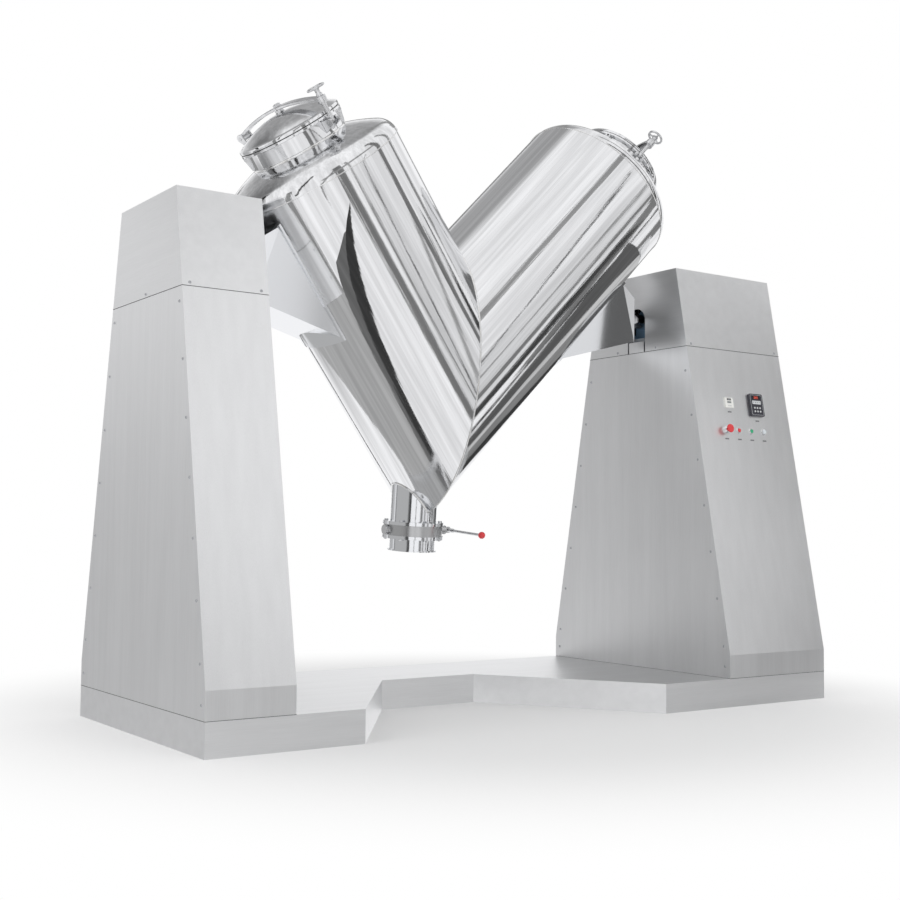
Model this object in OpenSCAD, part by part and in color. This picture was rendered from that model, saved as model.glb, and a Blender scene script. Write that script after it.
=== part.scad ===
// Tumbling powder mixer: a V-shaped drum of two unequal legs turns on a shaft
// between two clad pillars that stand on a U-shaped base.
// Millimetres. X runs along the shaft toward the drive pillar, -Y is the front,
// +Z is up, and the origin is the middle of the base's underside.

/* [Machine] */
// Gap between the left pillar and the drum's end plate
left_gap = 30.5; // [26:0.5:40]
// Gap between the drum's end plate and the drive pillar
right_gap = 162.5; // [150:0.5:175]
// Depth of the base and of the pillars' feet
machine_depth = 1202; // [1150:2:1260]
// Height of the pillars' tops above the shaft's axis
head_rise = 220; // [200:2:240]
// Height of the shaft's axis above the floor
axle_height = 1780; // [1770:1:1800]
// Thickness of the cover sheets
sheet = 3; // [2:0.5:4]
// Gap left where curved or welded faces meet
weld_gap = 0.3; // [0.2:0.05:0.4]
// Radial clearance of a turning shaft in its bore
running_fit = 0.05; // [0.02:0.01:0.08]
// Radial clearance of a sliding button in its guide
slide_fit = 0.3; // [0.2:0.05:0.4]

/* [Base] */
// Height of the base
base_height = 124; // [110:1:140]
// Front end of the notch, left of the drum's middle
notch_front_left = 675; // [640:5:700]
// Front end of the notch, right of the drum's middle
notch_front_right = 805; // [760:5:860]
// Back corner of the notch, left of the drum's middle
notch_back_left = 156; // [120:2:190]
// Back corner of the notch, right of the drum's middle
notch_back_right = 324; // [300:2:360]
// Back edge of the notch, behind the middle
notch_back = 123; // [90:1:130]
// Width of the rails inside the base
rail_width = 80; // [70:1:90]
// Wall of the rails
rail_wall = 5; // [4:0.5:8]
// Room between the notch and the rail behind it
mid_rail_gap = 17; // [12:1:30]
// Room between the notch and the left front rail
front_rail_left_gap = 40; // [35:1:60]
// Room between the notch and the right front rail
front_rail_right_gap = 95; // [85:1:120]
// Length of an anchor tab
tab_length = 100; // [80:5:120]
// Radius of the anchor holes
anchor_radius = 9; // [7:0.5:10]
// Place of the anchor holes from the middle, front and back
anchor_y = 200; // [190:1:210]

/* [Pillars] */
// Width of the left pillar
left_pillar_width = 342; // [338:2:350]
// Width of the drive pillar
right_pillar_width = 625; // [615:1:630]
// Height of the upright band at the pillars' feet
kick_height = 102; // [80:2:130]
// Height of the head covers
head_height = 374; // [360:2:400]
// Depth of the pillars' tops
head_depth = 536; // [500:2:580]
// Half-width of the slot in a head cover
slot_radius = 60; // [55:1:65]

/* [Posts] */
// Width of the left post, along the shaft
left_post_width = 180; // [170:2:190]
// Width of each post of the drive pillar
right_post_width = 140; // [130:2:146]
// Spacing of the two posts' middles in the drive pillar
right_post_spacing = 440; // [436:2:446]
// Depth of the posts, front to back
post_depth = 260; // [220:2:270]
// Wall of the posts
post_wall = 8; // [6:1:12]
// Thickness of the seat plates on the posts
seat_thickness = 25; // [20:1:30]
// Depth of the seat plates
seat_depth = 300; // [290:2:320]
// Drop of the motor shelf's top below the seats
shelf_drop = 605; // [560:5:650]
// Thickness of the motor shelf
shelf_thickness = 15; // [12:1:20]

/* [Bearings] */
// Radius of the drum's shafts
shaft_radius = 35; // [32:0.5:38]
// Height of the shaft above the seats
bearing_height = 80; // [78:1:85]
// Outer radius of the bearing housings
bearing_radius = 68; // [60:1:72]
// Width of the bearing housings along the shaft
bearing_width = 72; // [60:1:76]
// Length of a bearing foot, front to back
bearing_foot_length = 266; // [250:2:280]

/* [Drum] */
// Forward lean of the drum at rest, in degrees
drum_rest_lean = 4.8; // [0:0.1:10]
// Depth of the legs' meeting point below the shaft
junction_drop = 368.5; // [360:0.5:376]
// Lean of the left leg from upright, in degrees
left_leg_lean = 37.45; // [37:0.05:38]
// Lean of the right leg from upright, in degrees
right_leg_lean = 42.88; // [42.5:0.02:43.3]
// Length of the left leg's tube from the meeting point
left_leg_length = 1000; // [985:1:1010]
// Length of the right leg's tube from the meeting point
right_leg_length = 1270; // [1250:1:1280]
// Outer radius of the legs
leg_radius = 380; // [375:1:382]
// Wall of the drum
drum_wall = 5; // [4:0.5:6]
// Crown radius of the domed ends
crown_radius = 760; // [740:5:900]
// Knuckle radius of the domed ends
knuckle_radius = 76; // [60:1:90]

/* [Manways] */
// Outer radius of a manway's neck
manway_radius = 202; // [198:1:204]
// Wall of a manway's neck
manway_wall = 5; // [4:0.5:8]
// Height of a manway's rim above the leg's end
manway_rim_height = 198; // [192:1:204]
// Depth of the neck inside the domed end
manway_root_height = 104; // [98:1:108]
// Outer radius of the rim and of the lid
rim_radius = 222; // [218:1:223]
// Thickness of the rim
rim_thickness = 10; // [8:1:12]
// Thickness of the gasket
gasket_thickness = 3; // [2:0.5:4]
// Height of the lid's edge
lid_edge_height = 14; // [10:1:18]
// Height of the lid's dome above its edge
lid_dome_height = 60; // [50:1:66]
// Wall of the lid
lid_wall = 4; // [3:0.5:5]
// Turn of the clamp from the V's inner side to the front, in degrees
clamp_turn = 76; // [72:1:80]

/* [Yokes] */
// Height of the yoke's top above the leg's end
yoke_top_height = 300; // [297:1:304]
// Radius of the yoke's arch
yoke_arch_radius = 800; // [760:10:840]
// Width of the yoke
yoke_width = 40; // [36:1:44]
// Thickness of the yoke
yoke_thickness = 12; // [10:1:14]
// Place of the hinge pin from the lid's axis
hinge_reach = 260; // [257:1:264]
// Height of the hinge pin above the leg's end
hinge_height = 243; // [241:1:246]
// Thickness of the hinge ears
ear_thickness = 8; // [6:1:12]

/* [Clamps] */
// Place of the clamp screw from the lid's axis
clamp_reach = 240; // [239:0.5:244]
// Radius of the clamp screw
screw_radius = 9; // [8:0.5:10]
// Height of the screw's foot and nut
clamp_nut_height = 165; // [160:1:168]
// Radius of the handwheel's rim
wheel_radius = 33; // [30:1:36]
// Height of the handwheel above the leg's end
wheel_height = 306; // [304:1:312]
// Number of the handwheel's spokes
wheel_spokes = 3; // [3:1:5]

/* [Shaft brackets] */
// Half-depth of the brackets
bracket_half_depth = 170; // [165:1:175]
// Half-depth of a bracket at its end plate's top
bracket_top_half_depth = 155; // [150:1:162]
// Thickness of the brackets' plates
bracket_plate = 10; // [8:1:12]
// Thickness of the saddle pads on the legs
saddle_thickness = 8; // [6:1:10]
// Start of the left bracket along its leg
left_saddle_start = 420; // [410:1:430]
// End of the left bracket along its leg
left_saddle_end = 930; // [920:1:940]
// Start of the right bracket along its leg
right_saddle_start = 500; // [490:1:510]
// End of the right bracket along its leg
right_saddle_end = 1015; // [1005:1:1025]
// Place of the left end plate from the drum's middle
left_end_plate = 925; // [922:1:928]
// Place of the right end plate from the drum's middle
right_end_plate = 1030; // [1026:1:1034]
// Top of the left end plate above the shaft
left_end_top = 100; // [90:1:105]
// Top of the right end plate above the shaft
right_end_top = 86; // [80:1:95]
// Bottom of the left end plate below the shaft
left_end_bottom = 129; // [120:1:135]
// Bottom of the right end plate below the shaft
right_end_bottom = 116; // [110:1:125]
// Radius of the shafts' flanges
shaft_flange_radius = 78; // [74:1:79]
// Number of bolts in each shaft flange
shaft_bolts = 6; // [4:1:8]

/* [Outlet] */
// Outlet's axis, left of the drum's middle
outlet_offset = 33; // [28:1:36]
// Outer radius of the outlet's neck
outlet_radius = 100; // [97:1:102]
// Wall of the outlet's pipes
outlet_wall = 4; // [3:0.5:6]
// Depth of the valve's upper flange below the junction
outlet_flange_drop = 612; // [608:1:618]
// Radius of the valve's flanges
valve_flange_radius = 132; // [130:1:136]
// Thickness of the valve's flanges
valve_flange_thickness = 14; // [12:1:16]
// Outer radius of the valve's body
valve_body_radius = 127; // [124:1:129]
// Height of the valve's body between its flanges
valve_body_height = 45.6; // [40:0.2:50]
// Thickness of the valve's disc
valve_disc_thickness = 8; // [6:1:10]
// Radius of the circle of valve bolts
valve_bolt_circle = 116; // [114:0.5:118]
// Number of the valve's bolts
valve_bolts_count = 6; // [4:2:6]
// Length of the spout below the valve
spout_length = 53; // [45:1:60]
// Radius of the spout
spout_radius = 98; // [95:1:99]
// Radius of the spout's lip
spout_lip_radius = 106; // [104:1:110]
// Length of the valve's gland beyond its body
gland_length = 38; // [34:1:42]
// Place of the lever from the outlet's axis
lever_reach = 178; // [176:1:182]
// Length of the lever to its ball's middle
lever_length = 262; // [240:2:280]
// Radius of the lever's ball
lever_ball_radius = 15; // [13:0.5:18]

/* [Drive] */
// Place of the gearbox's middle in the drive pillar
gearbox_inset = 317.5; // [315:0.5:320]
// Width of the gearbox along the shaft
gearbox_width = 220; // [200:2:230]
// Depth of the gearbox, front to back
gearbox_depth = 220; // [200:2:240]
// Height of the worm's shaft above the drum's shaft
worm_height = 110; // [104:1:114]
// Radius of the gearbox's input shaft
input_shaft_radius = 14; // [12:0.5:16]
// Radius of the input pulley where the belts run
input_pulley_radius = 88; // [80:1:92]
// Radius of the motor pulley where the belts run
motor_pulley_radius = 55; // [48:1:60]
// Width of both pulleys
pulley_width = 50; // [44:1:56]
// Place of the belts' middle behind the shaft's axis
belt_plane_y = 225; // [215:1:230]
// Width of a belt
belt_width = 13; // [11:1:15]
// Spacing of the two belts
belt_spacing = 20; // [18:0.5:22]
// Radius of the motor's body
motor_radius = 98; // [90:1:104]
// Height of the motor's shaft above its shelf
motor_height = 112; // [110:1:118]
// Length of the motor's body
motor_length = 300; // [280:5:320]
// Place of the motor's shaft end shield behind the shaft's axis
motor_face_y = 140; // [130:1:150]
// Number of the motor's cooling ribs
motor_ribs = 24; // [16:2:32]

/* [Controls] */
// Drop of the button row below the seam, along the sloping front
button_row_drop = 391.5; // [370:0.5:420]
// First button's place from the drive pillar's inner edge
button_first_x = 180.5; // [170:0.5:190]
// Spacing of the buttons
button_pitch = 84; // [70:1:90]
// Radius of the buttons' rings
ring_radius = 15; // [13:0.5:17]
// Height of the buttons' rings
ring_height = 5; // [4:0.5:7]
// Radius of the buttons' barrels
barrel_radius = 11.5; // [11:0.1:12.5]
// Radius of the buttons' caps
cap_radius = 9; // [8:0.1:9.5]
// Height of the buttons' caps above the sheet
cap_height = 8; // [7:0.5:10]
// Radius of the stop mushroom
mushroom_radius = 20; // [18:0.5:24]
// Height of the stop mushroom's top above the sheet
mushroom_height = 38; // [34:1:44]
// Timer's place from the drive pillar's inner edge
timer_x = 222.5; // [215:0.5:230]
// Drop of the timer below the seam
timer_drop = 260.5; // [250:0.5:270]
// Width of the timer's frame
timer_width = 54; // [48:1:60]
// Height of the timer's frame
timer_height = 48; // [44:1:54]
// Keypad's place from the drive pillar's inner edge
keypad_x = 403.5; // [395:0.5:410]
// Drop of the keypad below the seam
keypad_drop = 262.5; // [255:0.5:270]
// Width of the keypad
keypad_width = 90; // [84:1:96]
// Height of the keypad
keypad_height = 109; // [104:1:116]
// Radius of the keypad's keys
key_radius = 4.5; // [4:0.1:5]

/* [Small hardware] */
// Height of the lowest screw on the left pillar's slope
left_screw_first = 310; // [290:2:330]
// Drop of the left pillar's highest slope screws below the seam
left_screw_last = 56; // [50:1:70]
// Height of the lowest screw on the drive pillar's slope
right_screw_first = 263; // [255:1:275]
// Drop of the drive pillar's highest slope screws below the seam
right_screw_last = 115; // [100:1:130]
// Number of screws up each sloping edge
slope_screws = 7; // [4:1:7]
// Place of the supply gland from the drive pillar's inner edge
gland_x = 487.5; // [450:0.5:520]
// Height of the supply gland up the sloping back
gland_row = 200; // [180:5:260]
// Width of the control box along the shaft
control_box_width = 400; // [360:5:430]
// Height of the control box
control_box_height = 460; // [400:5:500]
// Depth of the control box
control_box_depth = 180; // [150:5:190]

/* [Hidden] */

$fn = 96;

// Overrun of every cut past the face that it opens
cut = 2;
// Small sizes of the pieces that they name
lid_stud_radius = 12;
lid_nut_radius = 18;
hinge_barrel_radius = 16;
hinge_pin_radius = 8;
clamp_nut_radius = 16;
yoke_boss_radius = 20;
yoke_boss_height = 26;
wheel_bar_radius = 5;
wheel_hub_radius = 13;
valve_stem_radius = 8;
valve_seat_thickness = 6;
valve_bolt_radius = 5;
lever_bar_radius = 6;
saddle_rim = 8;
shaft_flange_thickness = 12;
shaft_bolt_circle = 58;
bearing_bolt_spacing = 210;
bearing_foot_thickness = 26;
belt_thickness = 9;
motor_shaft_radius = 12;
collar_radius = 17;
barrel_length = 38;
key_pitch_x = 18;
key_pitch_y = 17;
key_height = 2;
screw_head_radius = 6;
screw_head_height = 3;
gland_out_length = 28;
gland_bore_radius = 6.5;
gland_body_radius = 14;
tab_thickness = 12;
tongue_half_width = 52;
keypad_thickness = 12;
timer_depth = 80;
post_window_margin = 12;
label_width = 24;
label_height = 6;
label_thickness = 1;
label_drop = 43;
key_well = 6;
key_base = 23;
timer_frame = 7;
keypad_corner = 8;
spout_lip_thickness = 5;
lid_nut_height = 12;
collar_height = 16;
thread_room = 3.2;
gland_in_length = 15;
screw_inset = 30;
head_screw_rise = 13;
gasket_width = 16;
tongue_height = 53;

machine_length = left_pillar_width + left_gap + left_end_plate + right_end_plate + right_gap
  + right_pillar_width;
// Reach of a half-space cut
reach = 2 * machine_length;
machine_height = axle_height + head_rise;
seam_height = machine_height - head_height;
drum_offset = machine_length / 2 - left_pillar_width - left_gap - left_end_plate;
kick_top = base_height + kick_height;
slope_run = (machine_depth - head_depth) / 2;
slope_rise = machine_height - kick_top;
slope_angle = atan(slope_run / slope_rise);
sheet_run = sheet / cos(slope_angle);

left_outer_x = -machine_length / 2;
left_inner_x = left_outer_x + left_pillar_width;
right_outer_x = machine_length / 2;
right_inner_x = right_outer_x - right_pillar_width;
gearbox_x = right_inner_x + gearbox_inset;

left_post_x = (left_outer_x + left_inner_x) / 2;
near_post_x = gearbox_x - right_post_spacing / 2;
far_post_x = gearbox_x + right_post_spacing / 2;
seat_top = axle_height - bearing_height;
rail_top = base_height - sheet;
shelf_height = seat_top - shelf_drop;
seam_row = (seam_height - kick_top) / cos(slope_angle);
button_row = seam_row - button_row_drop;
timer_row = seam_row - timer_drop;
keypad_row = seam_row - keypad_drop;
control_box_z = (base_height + shelf_height - control_box_height) / 2;

half_leg_angle = (left_leg_lean + right_leg_lean) / 2;
seam_lean = (right_leg_lean - left_leg_lean) / 2;
leg_tail = leg_radius / tan(half_leg_angle);
manway_bore = manway_radius - manway_wall;

lid_seat = manway_rim_height + gasket_thickness;
lid_edge_top = lid_seat + lid_edge_height;
lid_dome_radius = rim_radius - lid_wall;
yoke_axis_height = yoke_top_height - yoke_arch_radius;
arch_at_clamp = yoke_axis_height + sqrt(yoke_arch_radius * yoke_arch_radius - clamp_reach * clamp_reach);
boss_top = arch_at_clamp - yoke_thickness / 2 + yoke_boss_height / 2;

outlet_flange_top = -junction_drop - outlet_flange_drop;
valve_body_top = outlet_flange_top - valve_flange_thickness;
valve_body_bottom = valve_body_top - valve_body_height;
valve_middle = (valve_body_top + valve_body_bottom) / 2;
spout_flange_bottom = valve_body_bottom - valve_flange_thickness;
spout_end = spout_flange_bottom - spout_length;
valve_bore = outlet_radius - outlet_wall;
seat_bore = valve_bore - valve_seat_thickness;

worm_z = axle_height + worm_height;
motor_z = shelf_height + motor_height;
belt_drop = worm_z - motor_z;
belt_wrap = asin((input_pulley_radius - motor_pulley_radius) / belt_drop);

// Colours
satin_steel = [0.74, 0.75, 0.76];
bright_steel = [0.86, 0.87, 0.89];
dark_steel = [0.45, 0.47, 0.49];
frame_paint = [0.36, 0.39, 0.42];
drive_paint = [0.22, 0.36, 0.52];
rubber_black = [0.08, 0.08, 0.08];
signal_red = [0.82, 0.10, 0.12];
signal_green = [0.10, 0.55, 0.30];
plastic_white = [0.93, 0.93, 0.90];
plastic_black = [0.10, 0.10, 0.12];

// Half-depth of a pillar at a height
function half_depth(z) = machine_depth / 2 - max(0, z - kick_top) * slope_run / slope_rise;

// Inward normal of an edge of a counter-clockwise outline
function edge_normal(a, b) = [a.y - b.y, b.x - a.x] / norm(b - a);

// Corner q of an outline, moved inward by t from both its edges
function inset_corner(p, q, r, t) =
  let (n = edge_normal(p, q), m = edge_normal(q, r)) q + (n + m) * t / (1 + n * m);

// A counter-clockwise outline moved inward by t
function inset_outline(o, t) =
  let (n = len(o)) [for (i = [0:n - 1]) inset_corner(o[(i + n - 1) % n], o[i], o[(i + 1) % n], t)];

// Outline in (Y, Z) carried along X, starting at x0
module along_x(x0, width) {
  translate([x0, 0, 0]) rotate([90, 0, 90]) linear_extrude(width) children();
}

// Outline in (X, Z) carried along Y, centred on the middle plane
module along_y(width) {
  rotate([90, 0, 0]) linear_extrude(width, center = true) children();
}

// Upright ring or tube
module ring(outer, inner, height) {
  difference() {
    cylinder(r = outer, h = height);
    translate([0, 0, -cut]) cylinder(r = inner, h = height + 2 * cut);
  }
}

// Rectangular tube standing on z = 0, centred on its axis
module box_tube(width, depth, height, wall) {
  difference() {
    translate([-width / 2, -depth / 2, 0]) cube([width, depth, height]);
    translate([wall - width / 2, wall - depth / 2, -cut])
      cube([width - 2 * wall, depth - 2 * wall, height + 2 * cut]);
  }
}

// Base
notch_start = -drum_offset - notch_front_left;
notch_end = notch_front_right - drum_offset;
base_outline = [
  [-machine_length / 2, -machine_depth / 2],
  [notch_start, -machine_depth / 2],
  [-drum_offset - notch_back_left, notch_back],
  [notch_back_right - drum_offset, notch_back],
  [notch_end, -machine_depth / 2],
  [machine_length / 2, -machine_depth / 2],
  [machine_length / 2, machine_depth / 2],
  [-machine_length / 2, machine_depth / 2]
];

// Window in the base's top sheet round a post and its anchors
module post_window(x, width) {
  half = anchor_y + tab_length / 2;
  translate([x - width / 2 - post_window_margin, -half, 0])
    cube([width + 2 * post_window_margin, 2 * half, base_height + cut]);
}

module base_cover() {
  color(satin_steel) difference() {
    linear_extrude(base_height) polygon(base_outline);
    translate([0, 0, -cut])
      linear_extrude(base_height - sheet + cut) polygon(inset_outline(base_outline, sheet));
    post_window(left_post_x, left_post_width);
    post_window(near_post_x, right_post_width);
    post_window(far_post_x, right_post_width);
  }
}

// Rail of rectangular tube, along X from x0 to x1 at y
module rail_x(x0, x1, y) {
  translate([x0, y - rail_width / 2, 0]) cube([x1 - x0, rail_width, rail_top]);
}

// Hollow of such a rail
module rail_x_hollow(x0, x1, y) {
  translate([x0 - cut, y - rail_width / 2 + rail_wall, rail_wall])
    cube([x1 - x0 + 2 * cut, rail_width - 2 * rail_wall, rail_top - 2 * rail_wall]);
}

// Rail of rectangular tube, along Y at x
module rail_y(x) {
  translate([x - rail_width / 2, -rail_y_end, 0]) cube([rail_width, 2 * rail_y_end, rail_top]);
}

// Hollow of such a rail
module rail_y_hollow(x) {
  translate([x - rail_width / 2 + rail_wall, -rail_y_end - cut, rail_wall])
    cube([rail_width - 2 * rail_wall, 2 * rail_y_end + 2 * cut, rail_top - 2 * rail_wall]);
}

// Anchor tab on the floor with its hole
module anchor_tab(x, y, width) {
  translate([x - width / 2, y - tab_length / 2, 0]) cube([width, tab_length, tab_thickness]);
}

rail_y_end = machine_depth / 2 - sheet - rail_width;
rail_end_x = machine_length / 2 - sheet;
mid_rail_y = notch_back + mid_rail_gap + rail_width / 2;
edge_rail_y = machine_depth / 2 - sheet - rail_width / 2;
left_rail_gap = left_post_width / 2 - rail_width / 4;
left_tab_width = 2 * left_rail_gap - rail_width;
cross_rails = [left_post_x - left_rail_gap, left_post_x + left_rail_gap, near_post_x, far_post_x];
right_tab_width = rail_end_x - far_post_x - rail_width / 2;
right_anchor_x = far_post_x + rail_width / 2 + right_tab_width / 2;

module base_frame() {
  color(frame_paint) difference() {
    union() {
      rail_x(-rail_end_x, rail_end_x, edge_rail_y);
      rail_x(-rail_end_x, rail_end_x, mid_rail_y);
      rail_x(-rail_end_x, notch_start - front_rail_left_gap, -edge_rail_y);
      rail_x(notch_end + front_rail_right_gap, rail_end_x, -edge_rail_y);
      for (x = cross_rails) rail_y(x);
      for (y = [-anchor_y, anchor_y]) {
        anchor_tab(left_post_x, y, left_tab_width);
        anchor_tab(right_anchor_x, y, right_tab_width);
      }
    }
    rail_x_hollow(-rail_end_x, rail_end_x, edge_rail_y);
    rail_x_hollow(-rail_end_x, rail_end_x, mid_rail_y);
    rail_x_hollow(-rail_end_x, notch_start - front_rail_left_gap, -edge_rail_y);
    rail_x_hollow(notch_end + front_rail_right_gap, rail_end_x, -edge_rail_y);
    for (x = cross_rails) rail_y_hollow(x);
    for (x = [left_post_x, right_anchor_x])
      for (y = [-anchor_y, anchor_y])
        translate([x, y, -cut]) cylinder(r = anchor_radius, h = tab_thickness + 2 * cut);
  }
}

// Pillars
post_height = seat_top - seat_thickness - rail_top;

module left_post() {
  color(frame_paint) {
    translate([left_post_x, 0, rail_top])
      box_tube(left_post_width, post_depth, post_height, post_wall);
    translate([left_post_x - left_seat_width / 2, -seat_depth / 2, seat_top - seat_thickness])
      cube([left_seat_width, seat_depth, seat_thickness]);
  }
}

left_seat_width = left_post_width + 2 * seat_thickness;
right_seat_width = right_post_spacing + right_post_width;
shelf_width = right_post_spacing - right_post_width;

module right_post() {
  color(frame_paint) {
    for (x = [near_post_x, far_post_x])
      translate([x, 0, rail_top])
        box_tube(right_post_width, post_depth, post_height, post_wall);
    translate([gearbox_x - right_seat_width / 2, -seat_depth / 2, seat_top - seat_thickness])
      cube([right_seat_width, seat_depth, seat_thickness]);
    translate([gearbox_x - shelf_width / 2, -post_depth / 2, shelf_height - shelf_thickness])
      cube([shelf_width, post_depth, shelf_thickness]);
  }
}

// Outline of a pillar's side below the seam, in (Y, Z)
lower_outline = [
  [-machine_depth / 2, base_height],
  [machine_depth / 2, base_height],
  [machine_depth / 2, kick_top],
  [half_depth(seam_height), seam_height],
  [-half_depth(seam_height), seam_height],
  [-machine_depth / 2, kick_top]
];

// Outline of the folded sheet on a pillar's front, in (Y, Z)
kick_fold = sheet * tan(slope_angle / 2);
front_sheet_outline = [
  [-machine_depth / 2, base_height],
  [sheet - machine_depth / 2, base_height],
  [sheet - machine_depth / 2, kick_top - kick_fold],
  [sheet_run - half_depth(seam_height), seam_height],
  [-half_depth(seam_height), seam_height],
  [-machine_depth / 2, kick_top]
];

// Outline of a head cover, in (Y, Z)
head_outline = [
  [-half_depth(seam_height), seam_height],
  [half_depth(seam_height), seam_height],
  [half_depth(machine_height), machine_height],
  [-half_depth(machine_height), machine_height]
];

// Outline of the space in a head cover, in (Y, Z)
head_hollow_outline = [
  [sheet_run - half_depth(seam_height - cut), seam_height - cut],
  [half_depth(seam_height - cut) - sheet_run, seam_height - cut],
  [half_depth(machine_height - sheet) - sheet_run, machine_height - sheet],
  [sheet_run - half_depth(machine_height - sheet), machine_height - sheet]
];

// Front and back sheets of a pillar, between its side panels
module wrap_sheets(x0, width) {
  for (side = [0, 1])
    mirror([0, side, 0])
      along_x(x0 + sheet, width - 2 * sheet) polygon(front_sheet_outline);
}

// Place on the drive pillar's sloping front: x from its inner edge, row up the slope, +Z outward
module on_control_face(x, row) {
  translate([right_inner_x + x, -machine_depth / 2, kick_top])
    rotate([90 - slope_angle, 0, 0])
      translate([0, row, 0]) children();
}

// The same place on the sloping back
module on_back_face(x, row) {
  mirror([0, 1, 0]) on_control_face(x, row) children();
}

function button_x(i) = button_first_x + i * button_pitch;

module left_wrap() {
  color(satin_steel) wrap_sheets(left_outer_x, left_pillar_width);
}
module right_wrap() {
  color(satin_steel) difference() {
    wrap_sheets(right_inner_x, right_pillar_width);
    for (i = [0:3])
      on_control_face(button_x(i), button_row)
        translate([0, 0, -sheet - cut]) cylinder(r = barrel_radius + running_fit, h = sheet + 2 * cut);
    on_control_face(timer_x, timer_row)
      translate([-timer_case_width / 2 - weld_gap, -timer_case_height / 2 - weld_gap, -sheet - cut])
        cube([timer_case_width + 2 * weld_gap, timer_case_height + 2 * weld_gap, sheet + 2 * cut]);
    on_back_face(gland_x, gland_row) translate([0, 0, -sheet - cut])
      cylinder(r = gland_thread_radius + weld_gap, h = sheet + 2 * cut);
  }
}

// Side panel of a pillar
module side_panel(x0) {
  along_x(x0, sheet) polygon(lower_outline);
}

// Tongue above a side panel's seam, in the head cover's slot
module slot_tongue(x0) {
  translate([x0, -tongue_half_width, seam_height - sheet])
    cube([sheet, 2 * tongue_half_width, tongue_height + sheet]);
}

module left_inner_panel() {
  color(satin_steel) {
    side_panel(left_inner_x - sheet);
    slot_tongue(left_inner_x - sheet);
  }
}

module left_outer_panel() {
  color(satin_steel) side_panel(left_outer_x);
}
module right_inner_panel() {
  color(satin_steel) {
    side_panel(right_inner_x);
    slot_tongue(right_inner_x);
  }
}
module right_outer_panel() {
  color(satin_steel) side_panel(right_outer_x - sheet);
}

// Head cover with the open-ended slot for the shaft in the wall at slot_x
module head_cover(x0, width, slot_x) {
  difference() {
    along_x(x0, width) polygon(head_outline);
    along_x(x0 + sheet, width - 2 * sheet) polygon(head_hollow_outline);
    along_x(slot_x - cut, sheet + 2 * cut) {
      translate([0, axle_height]) circle(r = slot_radius);
      translate([-slot_radius, seam_height - cut])
        square([2 * slot_radius, axle_height - seam_height + cut]);
    }
  }
}

module left_head() {
  color(satin_steel) head_cover(left_outer_x, left_pillar_width, left_inner_x - sheet);
}
module right_head() {
  color(satin_steel) head_cover(right_inner_x, right_pillar_width, right_inner_x);
}

// Button head of a screw on a face that looks along +Z
module screw_head() {
  cylinder(r = screw_head_radius, h = screw_head_height);
}

// Screws up both edges of a side panel at x, facing -X or +X
module side_screws(x, facing, first, last) {
  pitch = (seam_height - last - first) / (slope_screws - 1);
  for (side = [-1, 1]) {
    for (i = [0:slope_screws - 1])
      translate([x, side * (half_depth(first + i * pitch) - screw_inset), first + i * pitch])
        rotate([0, facing * 90, 0]) screw_head();
    translate([x, side * (machine_depth / 2 - screw_inset), (base_height + kick_top) / 2])
      rotate([0, facing * 90, 0]) screw_head();
  }
}

// Screws of a head cover's side wall at x, at the given places along Y
module head_side_screws(x, facing, places) {
  for (y = places)
    translate([x, y, seam_height + head_screw_rise]) rotate([0, facing * 90, 0]) screw_head();
}

// Screws of a head cover's front and back walls, near its two side walls
module head_front_screws(x0, width) {
  for (x = [x0 + screw_inset, x0 + width - screw_inset])
    for (side = [0, 1])
      mirror([0, side, 0])
        translate([x, -half_depth(seam_height + head_screw_rise), seam_height + head_screw_rise])
          rotate([90 - slope_angle, 0, 0]) screw_head();
}

module panel_screws() {
  side_y = 2 * slot_radius + head_screw_rise;
  color(dark_steel) {
    side_screws(left_outer_x, -1, left_screw_first, left_screw_last);
    side_screws(left_inner_x, 1, left_screw_first, left_screw_last);
    side_screws(right_inner_x, -1, right_screw_first, right_screw_last);
    side_screws(right_outer_x, 1, right_screw_first, right_screw_last);
    head_side_screws(left_outer_x, -1, [0]);
    head_side_screws(left_inner_x, 1, [-side_y, side_y]);
    head_side_screws(right_inner_x, -1, [-side_y, side_y]);
    head_side_screws(right_outer_x, 1, [-side_y, side_y]);
    head_front_screws(left_outer_x, left_pillar_width);
    head_front_screws(right_inner_x, right_pillar_width);
  }
}

// Bearings and drive
foot_bolt_radius = shaft_radius / 4;

// Pillow block on its foot, at x
module bearing_block(x) {
  difference() {
    union() {
      translate([x - bearing_width / 2, 0, axle_height])
        rotate([0, 90, 0]) cylinder(r = bearing_radius, h = bearing_width);
      translate([x - bearing_width / 2, -bearing_radius, seat_top])
        cube([bearing_width, 2 * bearing_radius, bearing_height]);
      translate([x - bearing_width / 2, -bearing_foot_length / 2, seat_top])
        cube([bearing_width, bearing_foot_length, bearing_foot_thickness]);
      for (y = [-bearing_bolt_spacing / 2, bearing_bolt_spacing / 2])
        translate([x, y, seat_top + bearing_foot_thickness])
          cylinder(r = 2 * foot_bolt_radius, h = foot_bolt_radius, $fn = 6);
    }
    translate([x - bearing_width / 2 - cut, 0, axle_height]) rotate([0, 90, 0])
      cylinder(r = shaft_radius + running_fit, h = bearing_width + 2 * cut);
  }
}

module bearings() {
  color(drive_paint) {
    bearing_block(left_post_x);
    bearing_block(near_post_x);
  }
}

gearbox_nose_share = 2.5;
gearbox_nose_radius = gearbox_nose_share * input_shaft_radius + belt_width;
gearbox_hub_radius = shaft_radius + gearbox_nose_radius / 2;

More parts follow.
